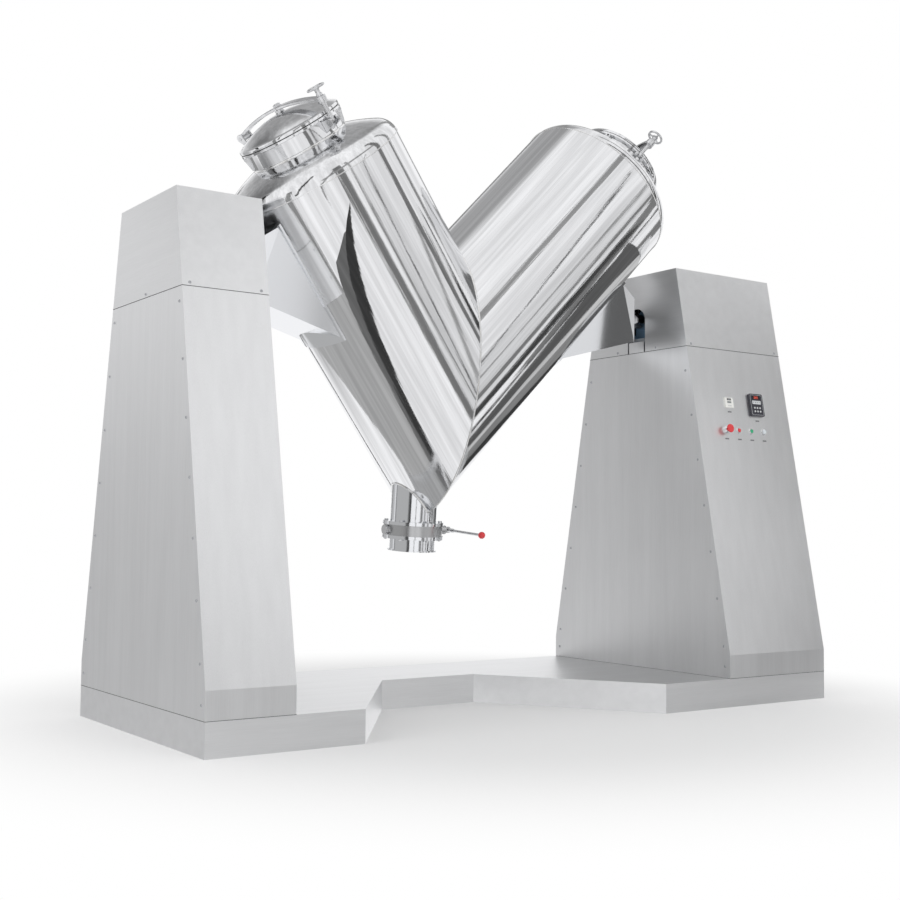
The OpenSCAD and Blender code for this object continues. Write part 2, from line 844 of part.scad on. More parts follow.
module gearbox() {
  foot = bearing_foot_thickness;
  color(drive_paint) difference() {
    union() {
      translate([gearbox_x - gearbox_width / 2, -gearbox_depth / 2, seat_top])
        cube([gearbox_width, gearbox_depth, worm_z - seat_top]);
      translate([gearbox_x, -gearbox_depth / 2 - foot, worm_z]) rotate([-90, 0, 0])
        cylinder(r = gearbox_nose_radius, h = gearbox_depth + 2 * foot);
      translate([gearbox_x - gearbox_width / 2 - foot, 0, axle_height]) rotate([0, 90, 0])
        cylinder(r = gearbox_hub_radius, h = gearbox_width + 2 * foot);
      translate([gearbox_x - gearbox_width / 2, -seat_depth / 2, seat_top])
        cube([gearbox_width, seat_depth, foot]);
    }
    translate([gearbox_x - gearbox_width / 2 - foot - cut, 0, axle_height]) rotate([0, 90, 0])
      cylinder(r = shaft_radius + running_fit, h = gearbox_width + 2 * foot + 2 * cut);
    translate([gearbox_x, 0, worm_z]) rotate([-90, 0, 0])
      cylinder(r = input_shaft_radius + running_fit, h = gearbox_depth / 2 + foot + cut);
  }
}

// Outline of a pulley with grooves for the belts, as radius and height, from its back face
module pulley_profile(radius) {
  groove = belt_width / 2 + weld_gap;
  floor_radius = radius - weld_gap;
  rim = radius + belt_thickness - weld_gap;
  low = pulley_width / 2 - belt_spacing / 2;
  high = pulley_width / 2 + belt_spacing / 2;
  polygon([
    [0, 0], [rim, 0], [rim, low - groove],
    [floor_radius, low - groove], [floor_radius, low + groove], [rim, low + groove],
    [rim, high - groove], [floor_radius, high - groove], [floor_radius, high + groove],
    [rim, high + groove], [rim, pulley_width], [0, pulley_width]
  ]);
}

// Pulley with its shaft, which reaches back to y0
module pulley_on_shaft(z, radius, shaft_r, y0) {
  translate([gearbox_x, belt_plane_y - pulley_width / 2, z]) rotate([-90, 0, 0])
    rotate_extrude() pulley_profile(radius);
  translate([gearbox_x, y0, z]) rotate([-90, 0, 0])
    cylinder(r = shaft_r, h = belt_plane_y - y0);
}

module input_pulley() {
  color(dark_steel) pulley_on_shaft(worm_z, input_pulley_radius, input_shaft_radius, weld_gap);
}

module motor_pulley() {
  color(dark_steel)
    pulley_on_shaft(motor_z, motor_pulley_radius, motor_shaft_radius, motor_bore_end + weld_gap);
}

motor_bore_end = motor_face_y - motor_radius;
motor_rib_height = motor_radius / 9;
motor_rib_width = motor_radius / 20;
motor_foot_shares = [2, 1.6, 1 / 6];
motor_foot = motor_radius * motor_foot_shares;
motor_box = [motor_radius, motor_radius, motor_radius / 2];

module motor() {
  foot_y = motor_face_y - motor_length / 2 - motor_foot.y / 2;
  color(drive_paint) difference() {
    union() {
      translate([gearbox_x, motor_face_y - motor_length, motor_z]) rotate([-90, 0, 0]) {
        cylinder(r = motor_radius, h = motor_length);
        for (i = [0:motor_ribs - 1])
          rotate([0, 0, 360 * (i + 0.5) / motor_ribs])
            translate([motor_radius - motor_rib_height, -motor_rib_width / 2, motor_length / 4])
              cube([2 * motor_rib_height, motor_rib_width, motor_length / 2]);
      }
      translate([gearbox_x - motor_foot.x / 2, foot_y, shelf_height]) cube(motor_foot);
      translate([gearbox_x - motor_foot.x / 4, foot_y, shelf_height])
        cube([motor_foot.x / 2, motor_foot.y, motor_height - motor_radius / 2]);
      translate([gearbox_x - motor_box.x / 2, motor_face_y - 2 * motor_length / 3,
        motor_z + motor_radius - motor_box.z / 2]) cube(motor_box);
    }
    translate([gearbox_x, motor_bore_end, motor_z]) rotate([-90, 0, 0])
      cylinder(r = motor_shaft_radius + running_fit, h = motor_radius + cut);
  }
}

// Points of an arc round (0, y), from one angle through a turn
function belt_arc(radius, y, from, turn) = [
  for (i = [0:belt_steps]) let (a = from + i * turn / belt_steps) [radius * cos(a), y + radius * sin(a)]
];

// Outline of a belt's loop round both pulleys, moved out by over; the motor pulley is at the origin
function belt_outline(over) = concat(
  belt_arc(input_pulley_radius + over, belt_drop, -belt_wrap, 180 + 2 * belt_wrap),
  belt_arc(motor_pulley_radius + over, 0, 180 + belt_wrap, 180 - 2 * belt_wrap)
);

belt_steps = 24;

module belt_loop() {
  linear_extrude(belt_width, center = true) difference() {
    polygon(belt_outline(belt_thickness));
    polygon(belt_outline(0));
  }
}

module v_belts() {
  color(rubber_black)
    for (y = [belt_plane_y - belt_spacing / 2, belt_plane_y + belt_spacing / 2])
      translate([gearbox_x, y, motor_z]) rotate([90, 0, 0]) belt_loop();
}

// Steel box on the posts' front, open toward the front, with its door
module control_box() {
  door_margin = sheet + screw_head_height;
  color(plastic_white) {
    translate([gearbox_x - control_box_width / 2, -post_depth / 2 - control_box_depth, control_box_z])
      difference() {
        cube([control_box_width, control_box_depth, control_box_height]);
        translate([sheet, -cut, sheet])
          cube([control_box_width - 2 * sheet, control_box_depth - sheet + cut,
            control_box_height - 2 * sheet]);
      }
    translate([gearbox_x - control_box_width / 2 - door_margin,
      -post_depth / 2 - control_box_depth - sheet - weld_gap, control_box_z - door_margin])
      cube([control_box_width + 2 * door_margin, sheet, control_box_height + 2 * door_margin]);
  }
}

gland_thread_radius = (gland_body_radius + gland_bore_radius) / 2;

module supply_gland() {
  color(plastic_black) on_back_face(gland_x, gland_row)
    difference() {
      union() {
        cylinder(r = gland_body_radius, h = gland_out_length);
        translate([0, 0, -sheet - gland_in_length])
          cylinder(r = gland_thread_radius, h = sheet + gland_in_length + cut);
      }
      translate([0, 0, -sheet - gland_in_length - cut])
        cylinder(r = gland_bore_radius, h = sheet + gland_in_length + gland_out_length + 2 * cut);
    }
}

// Controls on the drive pillar's sloping front
timer_case_width = timer_width - timer_frame;
timer_case_height = timer_height - timer_frame;
timer_window = [timer_width / 2, timer_height / 5];
timer_window_depth = timer_frame / 4;
upper_window_share = 1.4;

module timer() {
  color(plastic_white) on_control_face(timer_x, timer_row) difference() {
    union() {
      translate([-timer_width / 2, -timer_height / 2, 0]) cube([timer_width, timer_height, timer_frame]);
      translate([-timer_case_width / 2, -timer_case_height / 2, -timer_depth])
        cube([timer_case_width, timer_case_height, timer_depth + cut]);
    }
    for (y = [0, timer_window.y * upper_window_share])
      translate([-timer_window.x / 2, y - timer_window.y / 4, timer_frame - timer_window_depth])
        cube([timer_window.x, timer_window.y, timer_window_depth + cut]);
  }
}

// Place of key i on the keypad, counted from the lower left
function key_place(i) = [
  (i % 3 - 1) * key_pitch_x,
  key_base - keypad_height / 2 + floor(i / 3) * key_pitch_y
];

keypad_window_shares = [0.6, 1 / 6];
keypad_window = [keypad_width * keypad_window_shares.x, keypad_height * keypad_window_shares.y];
keypad_window_depth = keypad_thickness / 8;

module keypad() {
  color(plastic_black) on_control_face(keypad_x, keypad_row) difference() {
    linear_extrude(keypad_thickness) rounded_rectangle(keypad_width, keypad_height, keypad_corner);
    for (i = [0:5])
      translate([key_place(i).x, key_place(i).y, keypad_thickness - key_well])
        cylinder(r = key_radius + slide_fit, h = key_well + cut);
    translate([-keypad_window.x / 2, keypad_height / 4, keypad_thickness - keypad_window_depth])
      cube([keypad_window.x, keypad_window.y, keypad_window_depth + cut]);
  }
}

// Rectangle with round corners, centred
module rounded_rectangle(width, height, corner) {
  square([width - 2 * corner, height], center = true);
  square([width, height - 2 * corner], center = true);
  for (x = [-1, 1])
    for (y = [-1, 1])
      translate([x * (width / 2 - corner), y * (height / 2 - corner)]) circle(r = corner);
}

key_travel_room = key_well / 3;

// Key of the keypad
module keypad_key(i) {
  color(plastic_white) on_control_face(keypad_x, keypad_row)
    translate([key_place(i).x, key_place(i).y, keypad_thickness - key_well + key_travel_room])
      cylinder(r = key_radius, h = key_well - key_travel_room + key_height);
}

module keypad_key_1() keypad_key(0);
module keypad_key_2() keypad_key(1);
module keypad_key_3() keypad_key(2);
module keypad_key_4() keypad_key(3);
module keypad_key_5() keypad_key(4);
module keypad_key_6() keypad_key(5);

// Threaded barrel of a button through the sheet, open toward the front
module button_barrel(height) {
  difference() {
    translate([0, 0, -barrel_length]) cylinder(r = barrel_radius, h = barrel_length + height);
    translate([0, 0, -barrel_length / 2])
      cylinder(r = cap_radius + slide_fit, h = barrel_length + height);
  }
}

// Ring round a button
module button_ring(radius, height) {
  ring(radius, barrel_radius, height);
}

label_places = [
  for (i = [0:3]) [button_x(i), button_row - label_drop],
  [timer_x, timer_row - label_drop],
  [keypad_x, keypad_row - keypad_height / 2 - label_drop / 2]
];

module control_trim() {
  color(bright_steel) {
    on_control_face(button_x(0), button_row) {
      button_barrel(collar_height);
      button_ring(collar_radius, collar_height);
    }
    for (i = [1:3])
      on_control_face(button_x(i), button_row) {
        button_barrel(ring_height);
        button_ring(ring_radius, ring_height);
      }
    for (p = label_places)
      on_control_face(p.x, p.y)
        translate([-label_width / 2, -label_height / 2, 0])
          cube([label_width, label_height, label_thickness]);
  }
}

module pilot_lamp() {
  color(plastic_white) on_control_face(button_x(3), button_row) {
    translate([0, 0, -barrel_length / 2]) cylinder(r = cap_radius, h = barrel_length / 2 + ring_height + cut);
    translate([0, 0, ring_height + cut]) rotate_extrude() intersection() {
      dome_circle(cap_radius + cut, cap_height);
      square([cap_radius + cut, cap_height]);
    }
  }
}

// Circle whose top forms a dome on the X axis
module dome_circle(base, height) {
  dome = (base * base + height * height) / (2 * height);
  translate([0, height - dome]) circle(r = dome);
}

button_travel_room = barrel_length / 4;

// Flat cap of a push button
module button_cap() {
  translate([0, 0, button_travel_room - barrel_length / 2])
    cylinder(r = cap_radius, h = barrel_length / 2 - button_travel_room + cap_height);
}

module stop_cap() {
  color(signal_red) on_control_face(button_x(1), button_row) button_cap();
}

module start_cap() {
  color(signal_green) on_control_face(button_x(2), button_row) button_cap();
}

mushroom_skirt = mushroom_height / 3;

module estop_head() {
  color(signal_red) on_control_face(button_x(0), button_row) {
    translate([0, 0, button_travel_room - barrel_length / 2])
      cylinder(r = cap_radius, h = barrel_length / 2 - button_travel_room + mushroom_height - cut);
    translate([0, 0, mushroom_height - mushroom_skirt]) rotate_extrude() union() {
      square([mushroom_radius, mushroom_skirt / 2]);
      translate([0, mushroom_skirt / 2]) intersection() {
        dome_circle(mushroom_radius, mushroom_skirt / 2);
        square([mushroom_radius, mushroom_skirt / 2]);
      }
    }
  }
}

// Drum
// Drum frame: origin on the shaft's axis, Z through the legs' junction, turned to the rest lean
module in_drum() {
  translate([-drum_offset, 0, axle_height]) rotate([drum_rest_lean, 0, 0]) children();
}

// Frame of a leg: Z along its axis from the junction, X toward the inside of the V
module on_leg(side) {
  lean = side < 0 ? -left_leg_lean : right_leg_lean;
  translate([0, 0, -junction_drop]) rotate([0, lean, 0]) mirror([side < 0 ? 0 : 1, 0, 0]) children();
}
function leg_length(side) = side < 0 ? left_leg_length : right_leg_length;

// Frame of a manway: as on_leg, with Z from the end of the leg's tube
module on_manway(side) {
  on_leg(side) translate([0, 0, leg_length(side)]) children();
}

// Solid leg, cut at the V's seam plane, with its end moved out by over
module leg_solid(side, radius, over, gap) {
  difference() {
    on_leg(side) translate([0, 0, -leg_tail - cut])
      cylinder(r = radius, h = leg_length(side) + leg_tail + cut + over);
    translate([0, 0, -junction_drop]) rotate([0, seam_lean, 0])
      translate([side < 0 ? -gap : gap - reach, -reach / 2, -reach / 2]) cube(reach);
  }
}

module leg_tube(side) {
  difference() {
    leg_solid(side, leg_radius, -weld_gap, weld_gap / 2);
    leg_solid(side, leg_radius - drum_wall, cut, -cut);
    on_outlet(valve_body_bottom) cylinder(r = valve_bore, h = -valve_body_bottom - junction_drop);
  }
}

module left_leg() {
  color(bright_steel) in_drum() leg_tube(-1);
}
module right_leg() {
  color(bright_steel) in_drum() leg_tube(1);
}

// Half-angle of the crown arc of a domed end of an outer radius
function crown_half_angle(outer, crown, knuckle) = asin((outer - knuckle) / (crown - knuckle));

// Outline of a domed end as radius and height above the tube's end
function dome_outline(outer, crown, knuckle) =
  let (
    half = crown_half_angle(outer, crown, knuckle),
    centre = -(crown - knuckle) * cos(half)
  ) [
    [0, 0],
    for (a = [0:knuckle_step:90 - half]) [outer - knuckle + knuckle * cos(a), knuckle * sin(a)],
    for (a = [half:-crown_step:0]) [crown * sin(a), centre + crown * cos(a)],
    [0, centre + crown]
  ];

knuckle_step = 4;
crown_step = 2;

module dished_end(side) {
  on_manway(side) difference() {
    rotate_extrude() polygon(dome_outline(leg_radius, crown_radius, knuckle_radius));
    translate([0, 0, -weld_gap]) rotate_extrude()
      polygon(dome_outline(leg_radius - drum_wall, crown_radius - drum_wall, knuckle_radius - drum_wall));
    cylinder(r = manway_radius + weld_gap, h = manway_rim_height);
  }
}

module left_dish() {
  color(bright_steel) in_drum() dished_end(-1);
}
module right_dish() {
  color(bright_steel) in_drum() dished_end(1);
}

// Outline in (reach from the lid's axis, height) carried sideways, from y0
module ear_plate(y0, thickness) {
  translate([0, y0 + thickness, 0]) rotate([90, 0, 0]) linear_extrude(thickness) children();
}

// Side profile of a hinge ear, as reach and height
module hinge_ear_outline() {
  pin_ring = hinge_barrel_radius + cut;
  polygon([
    [manway_radius - cut, manway_rim_height - 6 * ear_thickness],
    [hinge_reach + pin_ring, hinge_height - cut],
    [hinge_reach - pin_ring, hinge_height + cut],
    [rim_radius + ear_thickness, manway_rim_height + ear_thickness / 2],
    [rim_radius, manway_rim_height - cut],
    [manway_radius - cut, manway_rim_height - cut]
  ]);
  translate([hinge_reach, hinge_height]) circle(r = pin_ring);
}

// Side profile of a lifting ear, as reach and height
module lifting_ear_outline() {
  polygon([
    [manway_radius - cut, manway_rim_height - 9 * ear_thickness],
    [manway_radius + ear_thickness, manway_rim_height - 9 * ear_thickness],
    [rim_radius, manway_rim_height - 3 * ear_thickness / 2],
    [rim_radius, manway_rim_height - cut],
    [manway_radius - cut, manway_rim_height - cut]
  ]);
}

// Side profile of an ear that holds the clamp's cross nut
module nut_ear_outline() {
  polygon([
    [manway_radius - cut, clamp_nut_height - 2 * clamp_nut_radius],
    [clamp_reach, clamp_nut_height - clamp_nut_radius],
    [clamp_reach, clamp_nut_height + clamp_nut_radius],
    [manway_radius - cut, clamp_nut_height + clamp_nut_radius]
  ]);
  translate([clamp_reach, clamp_nut_height]) circle(r = clamp_nut_radius);
}

ear_gap = yoke_width / 2 + weld_gap;
lifting_turn = 30;
nut_half_length = screw_radius + thread_room + ear_thickness / 2;

// Neck of a manway with its rim, hinge ears and pin, clamp nut and lifting ears
module manway(side) {
  on_manway(side) difference() {
    union() {
      translate([0, 0, manway_root_height])
        cylinder(r = manway_radius, h = manway_rim_height - manway_root_height);
      translate([0, 0, manway_rim_height - rim_thickness]) cylinder(r = rim_radius, h = rim_thickness);
      rotate([0, 0, 180 - clamp_turn]) {
        ear_plate(ear_gap, ear_thickness) hinge_ear_outline();
        ear_plate(-ear_gap - ear_thickness, ear_thickness) hinge_ear_outline();
        translate([hinge_reach, ear_gap + ear_thickness + cut, hinge_height]) rotate([90, 0, 0])
          cylinder(r = hinge_pin_radius, h = 2 * (ear_gap + ear_thickness + cut));
      }
      rotate([0, 0, -clamp_turn]) {
        ear_plate(nut_half_length, ear_thickness) nut_ear_outline();
        ear_plate(-nut_half_length - ear_thickness, ear_thickness) nut_ear_outline();
        translate([clamp_reach, nut_half_length + ear_thickness, clamp_nut_height]) rotate([90, 0, 0])
          cylinder(r = clamp_nut_radius, h = 2 * (nut_half_length + ear_thickness));
      }
      for (turn = [180 - lifting_turn, -lifting_turn])
        for (y = [-3, 1])
          rotate([0, 0, turn]) ear_plate(y * ear_thickness / 2, ear_thickness) lifting_ear_outline();
    }
    translate([0, 0, manway_root_height - cut])
      cylinder(r = manway_bore, h = manway_rim_height - manway_root_height + 2 * cut);
    rotate([0, 0, -clamp_turn])
      translate([clamp_reach, 0, clamp_nut_height - clamp_nut_radius - cut])
        cylinder(r = screw_radius + thread_room, h = 2 * clamp_nut_radius + 2 * cut);
  }
}

module left_manway() {
  color(bright_steel) in_drum() manway(-1);
}
module right_manway() {
  color(bright_steel) in_drum() manway(1);
}

// Outline of a lid as radius and height: flat seat, edge and dome
function lid_outline() =
  let (
    dome = (lid_dome_radius * lid_dome_radius + lid_dome_height * lid_dome_height) / (2 * lid_dome_height),
    centre = lid_edge_top + lid_dome_height - dome,
    half = asin(lid_dome_radius / dome),
    inner = dome - lid_wall,
    inner_half = asin((lid_dome_radius - lid_wall) / inner)
  ) [
    [rim_radius - gasket_width, lid_seat],
    [rim_radius, lid_seat],
    [rim_radius, lid_edge_top],
    for (a = [half:-crown_step:0]) [dome * sin(a), centre + dome * cos(a)],
    [0, centre + dome],
    [0, centre + inner],
    for (a = [0:crown_step:inner_half]) [inner * sin(a), centre + inner * cos(a)],
    [lid_dome_radius - lid_wall, centre + inner * cos(inner_half)],
    [lid_dome_radius - lid_wall, lid_seat + lid_wall],
    [rim_radius - gasket_width, lid_seat + lid_wall]
  ];

// Domed lid, with the stud, collar and nut that hang it on the yoke
module manway_lid(side) {
  stud_foot = lid_edge_top + lid_dome_height - lid_wall / 2;
  collar_top = yoke_top_height - yoke_thickness - weld_gap;
  on_manway(side) {
    rotate_extrude() polygon(lid_outline());
    translate([0, 0, stud_foot])
      cylinder(r = lid_stud_radius, h = yoke_top_height + lid_nut_height - stud_foot);
    translate([0, 0, stud_foot]) cylinder(r = lid_nut_radius, h = collar_top - stud_foot);
    translate([0, 0, yoke_top_height]) cylinder(r = lid_nut_radius, h = lid_nut_height, $fn = 6);
  }
}

module left_lid() {
  color(bright_steel) in_drum() manway_lid(-1);
}
module right_lid() {
  color(bright_steel) in_drum() manway_lid(1);
}

module gasket(side) {
  on_manway(side) translate([0, 0, manway_rim_height])
    ring(rim_radius - cut, rim_radius - cut - gasket_width, gasket_thickness);
}

module left_gasket() {
  color(rubber_black) in_drum() gasket(-1);
}
module right_gasket() {
  color(rubber_black) in_drum() gasket(1);
}

// Arched bar over a lid, with a barrel at its hinge and a boss at its clamp
module yoke(side) {
  span = hinge_reach + clamp_reach;
  on_manway(side) rotate([0, 0, -clamp_turn]) difference() {
    union() {
      intersection() {
        translate([0, yoke_width / 2, yoke_axis_height]) rotate([90, 0, 0])
          ring(yoke_arch_radius, yoke_arch_radius - yoke_thickness, yoke_width);
        translate([-hinge_reach, -yoke_width / 2, hinge_height - yoke_thickness])
          cube([span, yoke_width, yoke_top_height - hinge_height + 2 * yoke_thickness]);
      }
      translate([-hinge_reach, yoke_width / 2, hinge_height]) rotate([90, 0, 0])
        cylinder(r = hinge_barrel_radius, h = yoke_width);
      translate([clamp_reach, 0, boss_top - yoke_boss_height])
        cylinder(r = yoke_boss_radius, h = yoke_boss_height);
    }
    translate([-hinge_reach, yoke_width / 2 + cut, hinge_height]) rotate([90, 0, 0])
      cylinder(r = hinge_pin_radius + running_fit, h = yoke_width + 2 * cut);
    translate([clamp_reach, 0, boss_top - yoke_boss_height - cut])
      cylinder(r = screw_radius + running_fit, h = yoke_top_height - boss_top + yoke_boss_height + 2 * cut);
    translate([0, 0, yoke_axis_height + yoke_arch_radius - 2 * yoke_thickness])
      cylinder(r = lid_stud_radius + weld_gap, h = 3 * yoke_thickness);
  }
}

module left_yoke() {
  color(bright_steel) in_drum() yoke(-1);
}
module right_yoke() {
  color(bright_steel) in_drum() yoke(1);
}

clamp_stop_height = yoke_thickness / 3;
spoke_share = 0.8;

// Handwheel on its screw, with the stop ring that holds it in the yoke's boss
module clamp(side) {
  hub_base = boss_top + weld_gap;
  stop_top = boss_top - yoke_boss_height - weld_gap;
  on_manway(side) rotate([0, 0, -clamp_turn]) translate([clamp_reach, 0, 0]) {
    translate([0, 0, stop_top - clamp_stop_height])
      cylinder(r = wheel_hub_radius, h = clamp_stop_height);
    translate([0, 0, clamp_nut_height]) cylinder(r = screw_radius, h = wheel_height - clamp_nut_height);
    translate([0, 0, hub_base])
      cylinder(r = wheel_hub_radius, h = wheel_height + wheel_bar_radius - hub_base);
    translate([0, 0, wheel_height]) rotate_extrude()
      translate([wheel_radius, 0]) circle(r = wheel_bar_radius, $fn = 32);
    for (i = [0:wheel_spokes - 1])
      rotate([0, 0, 360 * i / wheel_spokes]) translate([0, 0, wheel_height]) rotate([0, 90, 0])
        cylinder(r = wheel_bar_radius * spoke_share, h = wheel_radius, $fn = 32);
  }
}

module left_clamp() {
  color(bright_steel) in_drum() clamp(-1);
}
module right_clamp() {
  color(bright_steel) in_drum() clamp(1);
}

// Shaft brackets, built for the right side and mirrored for the left
function leg_edge(lean, along, out) = [
  along * sin(lean) + out * cos(lean),
  along * cos(lean) - out * sin(lean) - junction_drop
];

function bracket_outline(lean, start, end, plate_x, top, bottom) =
  let (out = sqrt(leg_radius * leg_radius - bracket_half_depth * bracket_half_depth)) [
    leg_edge(lean, start, out),
    [plate_x, -bottom],
    [plate_x, top],
    leg_edge(lean, end, out),
    leg_edge(lean, end, out / 2),
    leg_edge(lean, start, out / 2)
  ];

// Prism of a bracket's outline whose faces fold in above the line from its apex to its lower corner
module folded_prism(outline, apex, low, top, half, top_half) {
  fold_turn = atan2(apex.y - low.y, low.x - apex.x);
  fold_line = (low - apex) / norm(low - apex);
  drop = abs((top.x - apex.x) * fold_line.y - (top.y - apex.y) * fold_line.x);
  fold_tilt = atan((half - top_half) / drop);
  difference() {
    along_y(2 * half) polygon(outline);
    for (side = [0, 1])
      mirror([0, side, 0]) translate([apex.x, half, apex.y]) rotate([0, fold_turn, 0])
        rotate([fold_tilt, 0, 0]) translate([-reach / 2, 0, 0]) cube([reach, reach, reach]);
  }
}

module bracket(lean, length, start, end, plate_x, top, bottom) {
  outer = bracket_outline(lean, start, end, plate_x, top, bottom);
  inner = inset_outline(outer, bracket_plate);
  pad_inner = leg_radius + weld_gap;
  pad_outer = pad_inner + saddle_thickness;
  difference() {
    folded_prism(outer, outer[3], outer[1], outer[2], bracket_half_depth, bracket_top_half_depth);
    folded_prism(inner, outer[3], outer[1], outer[2],
      bracket_half_depth - bracket_plate, bracket_top_half_depth - bracket_plate);
    bracket_leg(lean, length, pad_outer - cut);
  }
  intersection() {
    difference() {
      bracket_leg(lean, length, pad_outer);
      bracket_leg(lean, length, pad_inner);
    }
    translate([0, 0, -junction_drop]) rotate([0, lean, 0])
      translate([0, -bracket_half_depth - saddle_rim, start - saddle_rim])
        cube([2 * leg_radius, 2 * (bracket_half_depth + saddle_rim), end - start + 2 * saddle_rim]);
  }
}

// Leg that a bracket stands on, as a cylinder of any radius
module bracket_leg(lean, length, radius) {
  translate([0, 0, -junction_drop]) rotate([0, lean, 0]) cylinder(r = radius, h = length);
}

module left_bracket() {
  color(bright_steel) in_drum() mirror([1, 0, 0])
    bracket(left_leg_lean, left_leg_length, left_saddle_start, left_saddle_end,
      left_end_plate, left_end_top, left_end_bottom);
}
module right_bracket() {
  color(bright_steel) in_drum()
    bracket(right_leg_lean, right_leg_length, right_saddle_start, right_saddle_end,
      right_end_plate, right_end_top, right_end_bottom);
}

// Drum shaft along +X from the face of its flange, with the flange's bolts
module flanged_shaft(length) {
  bolt = shaft_flange_thickness / 2;
  bolt_head_share = 1.4;
  rotate([0, 90, 0]) {
    cylinder(r = shaft_flange_radius, h = shaft_flange_thickness);
    cylinder(r = shaft_radius, h = length);
    for (i = [0:shaft_bolts - 1])
      rotate([0, 0, 360 * (i + 0.5) / shaft_bolts])
        translate([shaft_bolt_circle, 0, shaft_flange_thickness - cut])
          cylinder(r = bolt * bolt_head_share, h = bolt + cut, $fn = 6);
  }
}

shaft_end_room = bearing_width;
left_shaft_length = -drum_offset - left_end_plate - left_post_x + shaft_end_room;
right_shaft_length = gearbox_x + gearbox_width / 2 + shaft_end_room + drum_offset - right_end_plate;

module left_shaft() {
  color(bright_steel) in_drum() mirror([1, 0, 0])
    translate([left_end_plate, 0, 0]) flanged_shaft(left_shaft_length);
}
module right_shaft() {
  color(bright_steel) in_drum() translate([right_end_plate, 0, 0]) flanged_shaft(right_shaft_length);
}

// Outlet and butterfly valve
module on_outlet(z) {
  translate([-outlet_offset, 0, z]) children();
}

// Bolt holes through the valve and its flanges
module valve_bolt_places() {
  for (i = [0:valve_bolts_count - 1])
    rotate([0, 0, 360 * (i + 0.5) / valve_bolts_count]) translate([valve_bolt_circle, 0, 0]) children();
}

module valve_bolt_holes(z, height) {
  valve_bolt_places() translate([0, 0, z - cut])
    cylinder(r = valve_bolt_radius + weld_gap, h = height + 2 * cut);
}

module outlet_neck() {
  color(bright_steel) in_drum() difference() {
    on_outlet(0) {
      translate([0, 0, outlet_flange_top - cut])
        cylinder(r = outlet_radius, h = neck_reach);
      translate([0, 0, valve_body_top]) cylinder(r = valve_flange_radius, h = valve_flange_thickness);
    }
    on_outlet(valve_body_top - cut) cylinder(r = valve_bore, h = neck_reach + valve_flange_thickness + 2 * cut);
    neck_cutter(-1);
    neck_cutter(1);
    on_outlet(0) valve_bolt_holes(valve_body_top, valve_flange_thickness);
  }
}

neck_reach = outlet_radius + leg_radius / 2;

// Lower end of a leg, as what it cuts from the outlet's neck
module neck_cutter(side) {
  difference() {
    on_leg(side) translate([0, 0, -leg_tail - outlet_radius])
      cylinder(r = leg_radius + weld_gap, h = leg_tail + 2 * outlet_radius);
    translate([0, 0, -junction_drop]) rotate([0, seam_lean, 0])
      translate([side < 0 ? weld_gap : -weld_gap - reach, -reach / 2, -reach / 2]) cube(reach);
  }
}

valve_boss_share = 2.5;
valve_boss_radius = valve_boss_share * valve_stem_radius;

module valve_body() {
  color(satin_steel) in_drum() difference() {
    on_outlet(valve_middle) {
      translate([0, 0, -valve_body_height / 2]) cylinder(r = valve_body_radius, h = valve_body_height);
      translate([-valve_body_radius - valve_boss_radius, 0, 0]) rotate([0, 90, 0])
        cylinder(r = valve_boss_radius, h = 2 * valve_body_radius + valve_boss_radius + gland_length);
    }
    on_outlet(valve_body_bottom - cut) cylinder(r = valve_bore, h = valve_body_height + 2 * cut);
    on_outlet(valve_middle) rotate([0, 90, 0])
      cylinder(r = valve_stem_radius + running_fit, h = valve_body_radius + gland_length + cut);
    on_outlet(valve_middle) rotate([0, -90, 0])
      cylinder(r = valve_stem_radius + running_fit, h = valve_body_radius);
    on_outlet(0) valve_bolt_holes(valve_body_bottom, valve_body_height);
  }
}

module valve_seat() {
  color(rubber_black) in_drum() difference() {
    on_outlet(valve_body_bottom)
      ring(valve_bore - weld_gap, seat_bore, valve_body_height);
    on_outlet(valve_middle) rotate([0, 90, 0])
      cylinder(r = valve_stem_radius + weld_gap, h = 2 * valve_bore, center = true);
  }
}

valve_bolt_head_share = 1.6;
valve_bolt_head = valve_bolt_head_share * valve_bolt_radius;

module valve_bolts() {
  color(dark_steel) in_drum() on_outlet(0) valve_bolt_places() {
    translate([0, 0, spout_flange_bottom])
      cylinder(r = valve_bolt_radius, h = outlet_flange_top - spout_flange_bottom);
    translate([0, 0, outlet_flange_top])
      cylinder(r = valve_bolt_head, h = valve_bolt_radius, $fn = 6);
    translate([0, 0, spout_flange_bottom - valve_bolt_radius])
      cylinder(r = valve_bolt_head, h = valve_bolt_radius, $fn = 6);
  }
}

module spout() {
  color(bright_steel) in_drum() difference() {
    on_outlet(0) {
      translate([0, 0, spout_flange_bottom])
        cylinder(r = valve_flange_radius, h = valve_flange_thickness);
      translate([0, 0, spout_end]) cylinder(r = spout_radius, h = spout_length + cut);
      translate([0, 0, spout_end]) cylinder(r = spout_lip_radius, h = spout_lip_thickness);
    }
    on_outlet(spout_end - cut)
      cylinder(r = spout_radius - outlet_wall, h = spout_length + valve_flange_thickness + 2 * cut);
    on_outlet(0) valve_bolt_holes(spout_flange_bottom, valve_flange_thickness);
  }
}

stem_far_end = valve_body_radius - cut;

module valve_disc() {
  color(bright_steel) in_drum() on_outlet(valve_middle) {
    translate([0, 0, -valve_disc_thickness / 2])
      cylinder(r = seat_bore - weld_gap, h = valve_disc_thickness);
    translate([-stem_far_end, 0, 0]) rotate([0, 90, 0])
      cylinder(r = valve_stem_radius, h = stem_far_end + lever_reach - lever_hub_height / 2);
  }
}

lever_hub_height = 2 * (lever_reach - valve_body_radius - gland_length) - 2 * weld_gap;
lever_hub_share = 1.8;
lever_hub_radius = lever_hub_share * valve_stem_radius;

